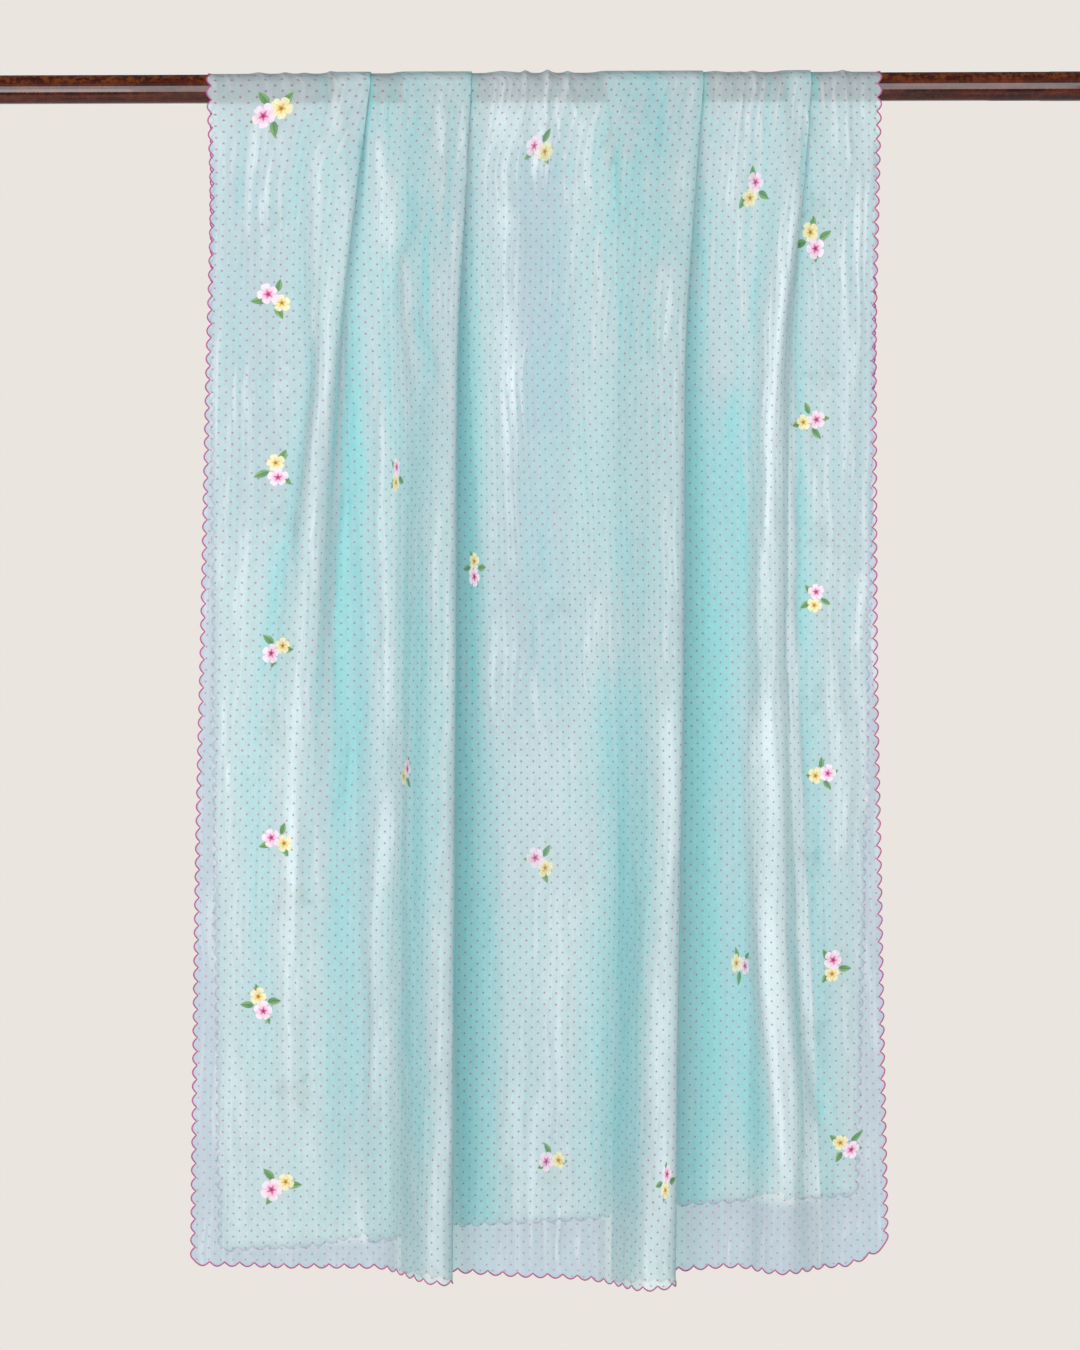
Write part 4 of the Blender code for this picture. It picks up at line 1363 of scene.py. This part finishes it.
def make_paint():
    nodes = new_material("sprig_paint")
    tinted = nodes.add("Attribute", attribute_name=PAINT).outputs
    strokes = nodes.remap(nodes.noise(nodes.solid_place(), *STROKE_NOISE), *STROKE_RANGE)
    colour = nodes.shaded(tinted["Color"], strokes)
    bump = nodes.bump(strokes, *STROKE_BUMP)
    surface = nodes.principled(colour, PAINT_ROUGHNESS, {"Normal": bump})
    seen_through = nodes.add("BsdfTranslucent", {"Color": colour}).outputs[0]
    painted = nodes.mix(PAINT_TRANSLUCENT, surface, seen_through)
    bare = nodes.add("BsdfTransparent").outputs[0]
    return nodes.finish(nodes.mix(nodes.times(tinted["Alpha"], PAINT_OPACITY), bare, painted))


def make_lacquer():
    nodes = new_material("dark_lacquer")
    place = nodes.solid_place()
    long = nodes.stretched(place, WOOD_STRETCH)
    mottle = nodes.remap(nodes.noise(place, *MOTTLE_NOISE), *MOTTLE_RANGE)
    grain = nodes.remap(nodes.noise(long, *GRAIN_NOISE), *GRAIN_RANGE)
    wood = nodes.blend(grain, WOOD_DARK, WOOD_LIGHT)
    level = nodes.add("SeparateXYZ", {"Vector": place}).outputs["Z"]
    spots = nodes.times(mottle, nodes.remap(level, *SPOT_RANGE))
    colour = nodes.blend(spots, wood, WOOD_SPOTS)
    rough = nodes.remap(grain, *WOOD_ROUGHNESS_RANGE)
    bump = nodes.bump(grain, *WOOD_BUMP)
    coat = {"Coat Weight": 1.0, "Coat Roughness": LACQUER_ROUGHNESS, "Coat IOR": LACQUER_IOR}
    more = {"Specular IOR Level": 0.0, "Normal": bump, **coat}
    return nodes.finish(nodes.principled(colour, rough, more))


FLOOR_RADIUS, FLOOR_Z, FLOOR_STEPS = 2.4, -2.1, 96
FLOOR_DARK, FLOOR_LIGHT = (0.86, 0.83, 0.79, 1), (0.89, 0.86, 0.82, 1)
FLOOR_NOISE, FLOOR_ROUGHNESS = (3.0, 2.0, 0.5), 0.8
BACKGROUND = (0.823, 0.783, 0.737, 1)
ROOM = (0.81, 0.82, 0.83, 1)
# The room's light on the object is strongest near the horizon and dims toward straight up and down
SKY_LEVELS = (0.84, 0.2)
SKY_DIMS = (0.25, 0.8)  # sines of the heights between which it dims
MOST_LAYERS = 32  # of see-through cloth on one line of sight
# Lights: name, place, what it faces, width and height, watts
LIGHTS = (
    ("window", (-0.2, -2.7, -0.15), (0.0, 0.0, -0.25), (2.8, 2.1), 86.0),
    ("side", (-1.3, -2.4, -0.7), (0.0, 0.0, -0.6), (1.0, 1.4), 14.0),
    ("rear", (-0.4, 2.7, -0.2), (0.0, 0.0, -0.6), (3.0, 2.6), 30.0),
)


def make_floor():
    nodes = new_material("pale_floor")
    colour = nodes.blend(nodes.noise(nodes.solid_place(), *FLOOR_NOISE), FLOOR_DARK, FLOOR_LIGHT)
    floor = nodes.finish(nodes.principled(colour, FLOOR_ROUGHNESS))
    angles = [2 * math.pi * i / FLOOR_STEPS for i in range(FLOOR_STEPS)]
    ring = [(*polar(FLOOR_RADIUS, angle), FLOOR_Z) for angle in angles]
    mesh = bpy.data.meshes.new("floor")
    mesh.from_pydata(ring, [], [tuple(range(FLOOR_STEPS))])
    mesh.materials.append(floor)
    obj = link("floor", mesh)


def make_light(name, place, target, size, power):
    light = bpy.data.lights.new(name, "AREA")
    light.shape = "RECTANGLE"
    light.size, light.size_y = size
    light.energy = power
    obj = link(name, light)
    obj.location = place
    obj.rotation_euler = (Vector(target) - Vector(place)).to_track_quat("-Z", "Y").to_euler()


def make_studio():
    """Lights, and a world that shows the camera a plain background."""
    nodes = Nodes(bpy.data.worlds.new("studio"), "OutputWorld")
    shown = nodes.add("Background", {"Color": BACKGROUND}).outputs[0]
    direction = nodes.add("TexCoord").outputs["Generated"]
    steep = nodes.math("ABSOLUTE", nodes.add("SeparateXYZ", {0: direction}).outputs["Z"])
    names = ("From Min", "From Max", "To Min", "To Max")
    dimming = dict(zip(names, (*SKY_DIMS, *SKY_LEVELS)))
    level = nodes.add("MapRange", {"Value": steep, **dimming}).outputs[0]
    room = nodes.add("Background", {"Color": ROOM, "Strength": level}).outputs[0]
    seen = nodes.add("LightPath").outputs["Is Camera Ray"]
    scene = bpy.context.scene
    scene.world = nodes.finish(nodes.mix(seen, room, shown))
    scene.view_settings.view_transform = "Standard"
    scene.cycles.transparent_max_bounces = MOST_LAYERS
    for light in LIGHTS:
        make_light(*light)


VIEW_DISTANCE = 2.6
VIEW_Z = -0.6075
VIEW_HEIGHT = 1.39725  # of the frame at the rod's axis, 1350 pixels of 1.035 mm
VIEW_ROLL = 0.2  # degrees


def make_camera():
    camera = bpy.data.cameras.new("camera")
    camera.lens = camera.sensor_width * VIEW_DISTANCE / VIEW_HEIGHT
    obj = link("camera", camera)
    obj.location = (0, -VIEW_DISTANCE, VIEW_Z)
    obj.rotation_euler = (math.radians(90), math.radians(VIEW_ROLL), 0)
    bpy.context.scene.camera = obj


def piece(obj, slot, *nodes):
    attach(obj, "root")
    if nodes:
        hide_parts(*nodes)


def main():
    make_camera()
    make_studio()
    make_floor()
    chiffon = make_chiffon()
    thread = make_thread_material()
    front_tables = (FRONT_FOLDS, FRONT_SIDES, FRONT_HEM, FRONT_SHADES, FRONT_CREASES)
    front = Drape(*front_tables, outward=-1, wave_phase=0.0, seed=5)
    back_tables = (BACK_FOLDS, BACK_SIDES, BACK_HEM, (), BACK_CREASES)
    back = Drape(*back_tables, outward=1, wave_phase=1.7, seed=8)
    front_lone = functools.partial(uncovered, front, back, THIN_STRETCHES)
    back_lone = functools.partial(uncovered, back, front, ())
    front_cloth, front_edge, front_face = make_fall("front_cloth", front, chiffon, front_lone)
    back_cloth, back_edge, back_face = make_fall("back_cloth", back, chiffon, back_lone)
    top_cloth, top_edges = make_top("top_cloth", front, back, chiffon, front_lone)
    piece(front_cloth, "chiffon", "front_fall")
    piece(back_cloth, "chiffon", "back_fall")
    piece(top_cloth, "chiffon", "top_fold")
    edges = {"front_edging": [front_edge], "back_edging": [back_edge], "top_edging": top_edges}
    for name, lines in edges.items():
        edging = make_thread(name, lines, thread)
        piece(edging, "edge_thread")
    paint = make_paint()
    front_sprigs = make_sprigs("front_sprigs", front_face, FRONT_SPRIGS, paint, seed=11)
    back_sprigs = make_sprigs("back_sprigs", back_face, BACK_SPRIGS, paint, seed=23)
    piece(front_sprigs, "sprig_paint")
    piece(back_sprigs, "sprig_paint")
    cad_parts["rod"].material_slots[0].material = make_lacquer()


main()
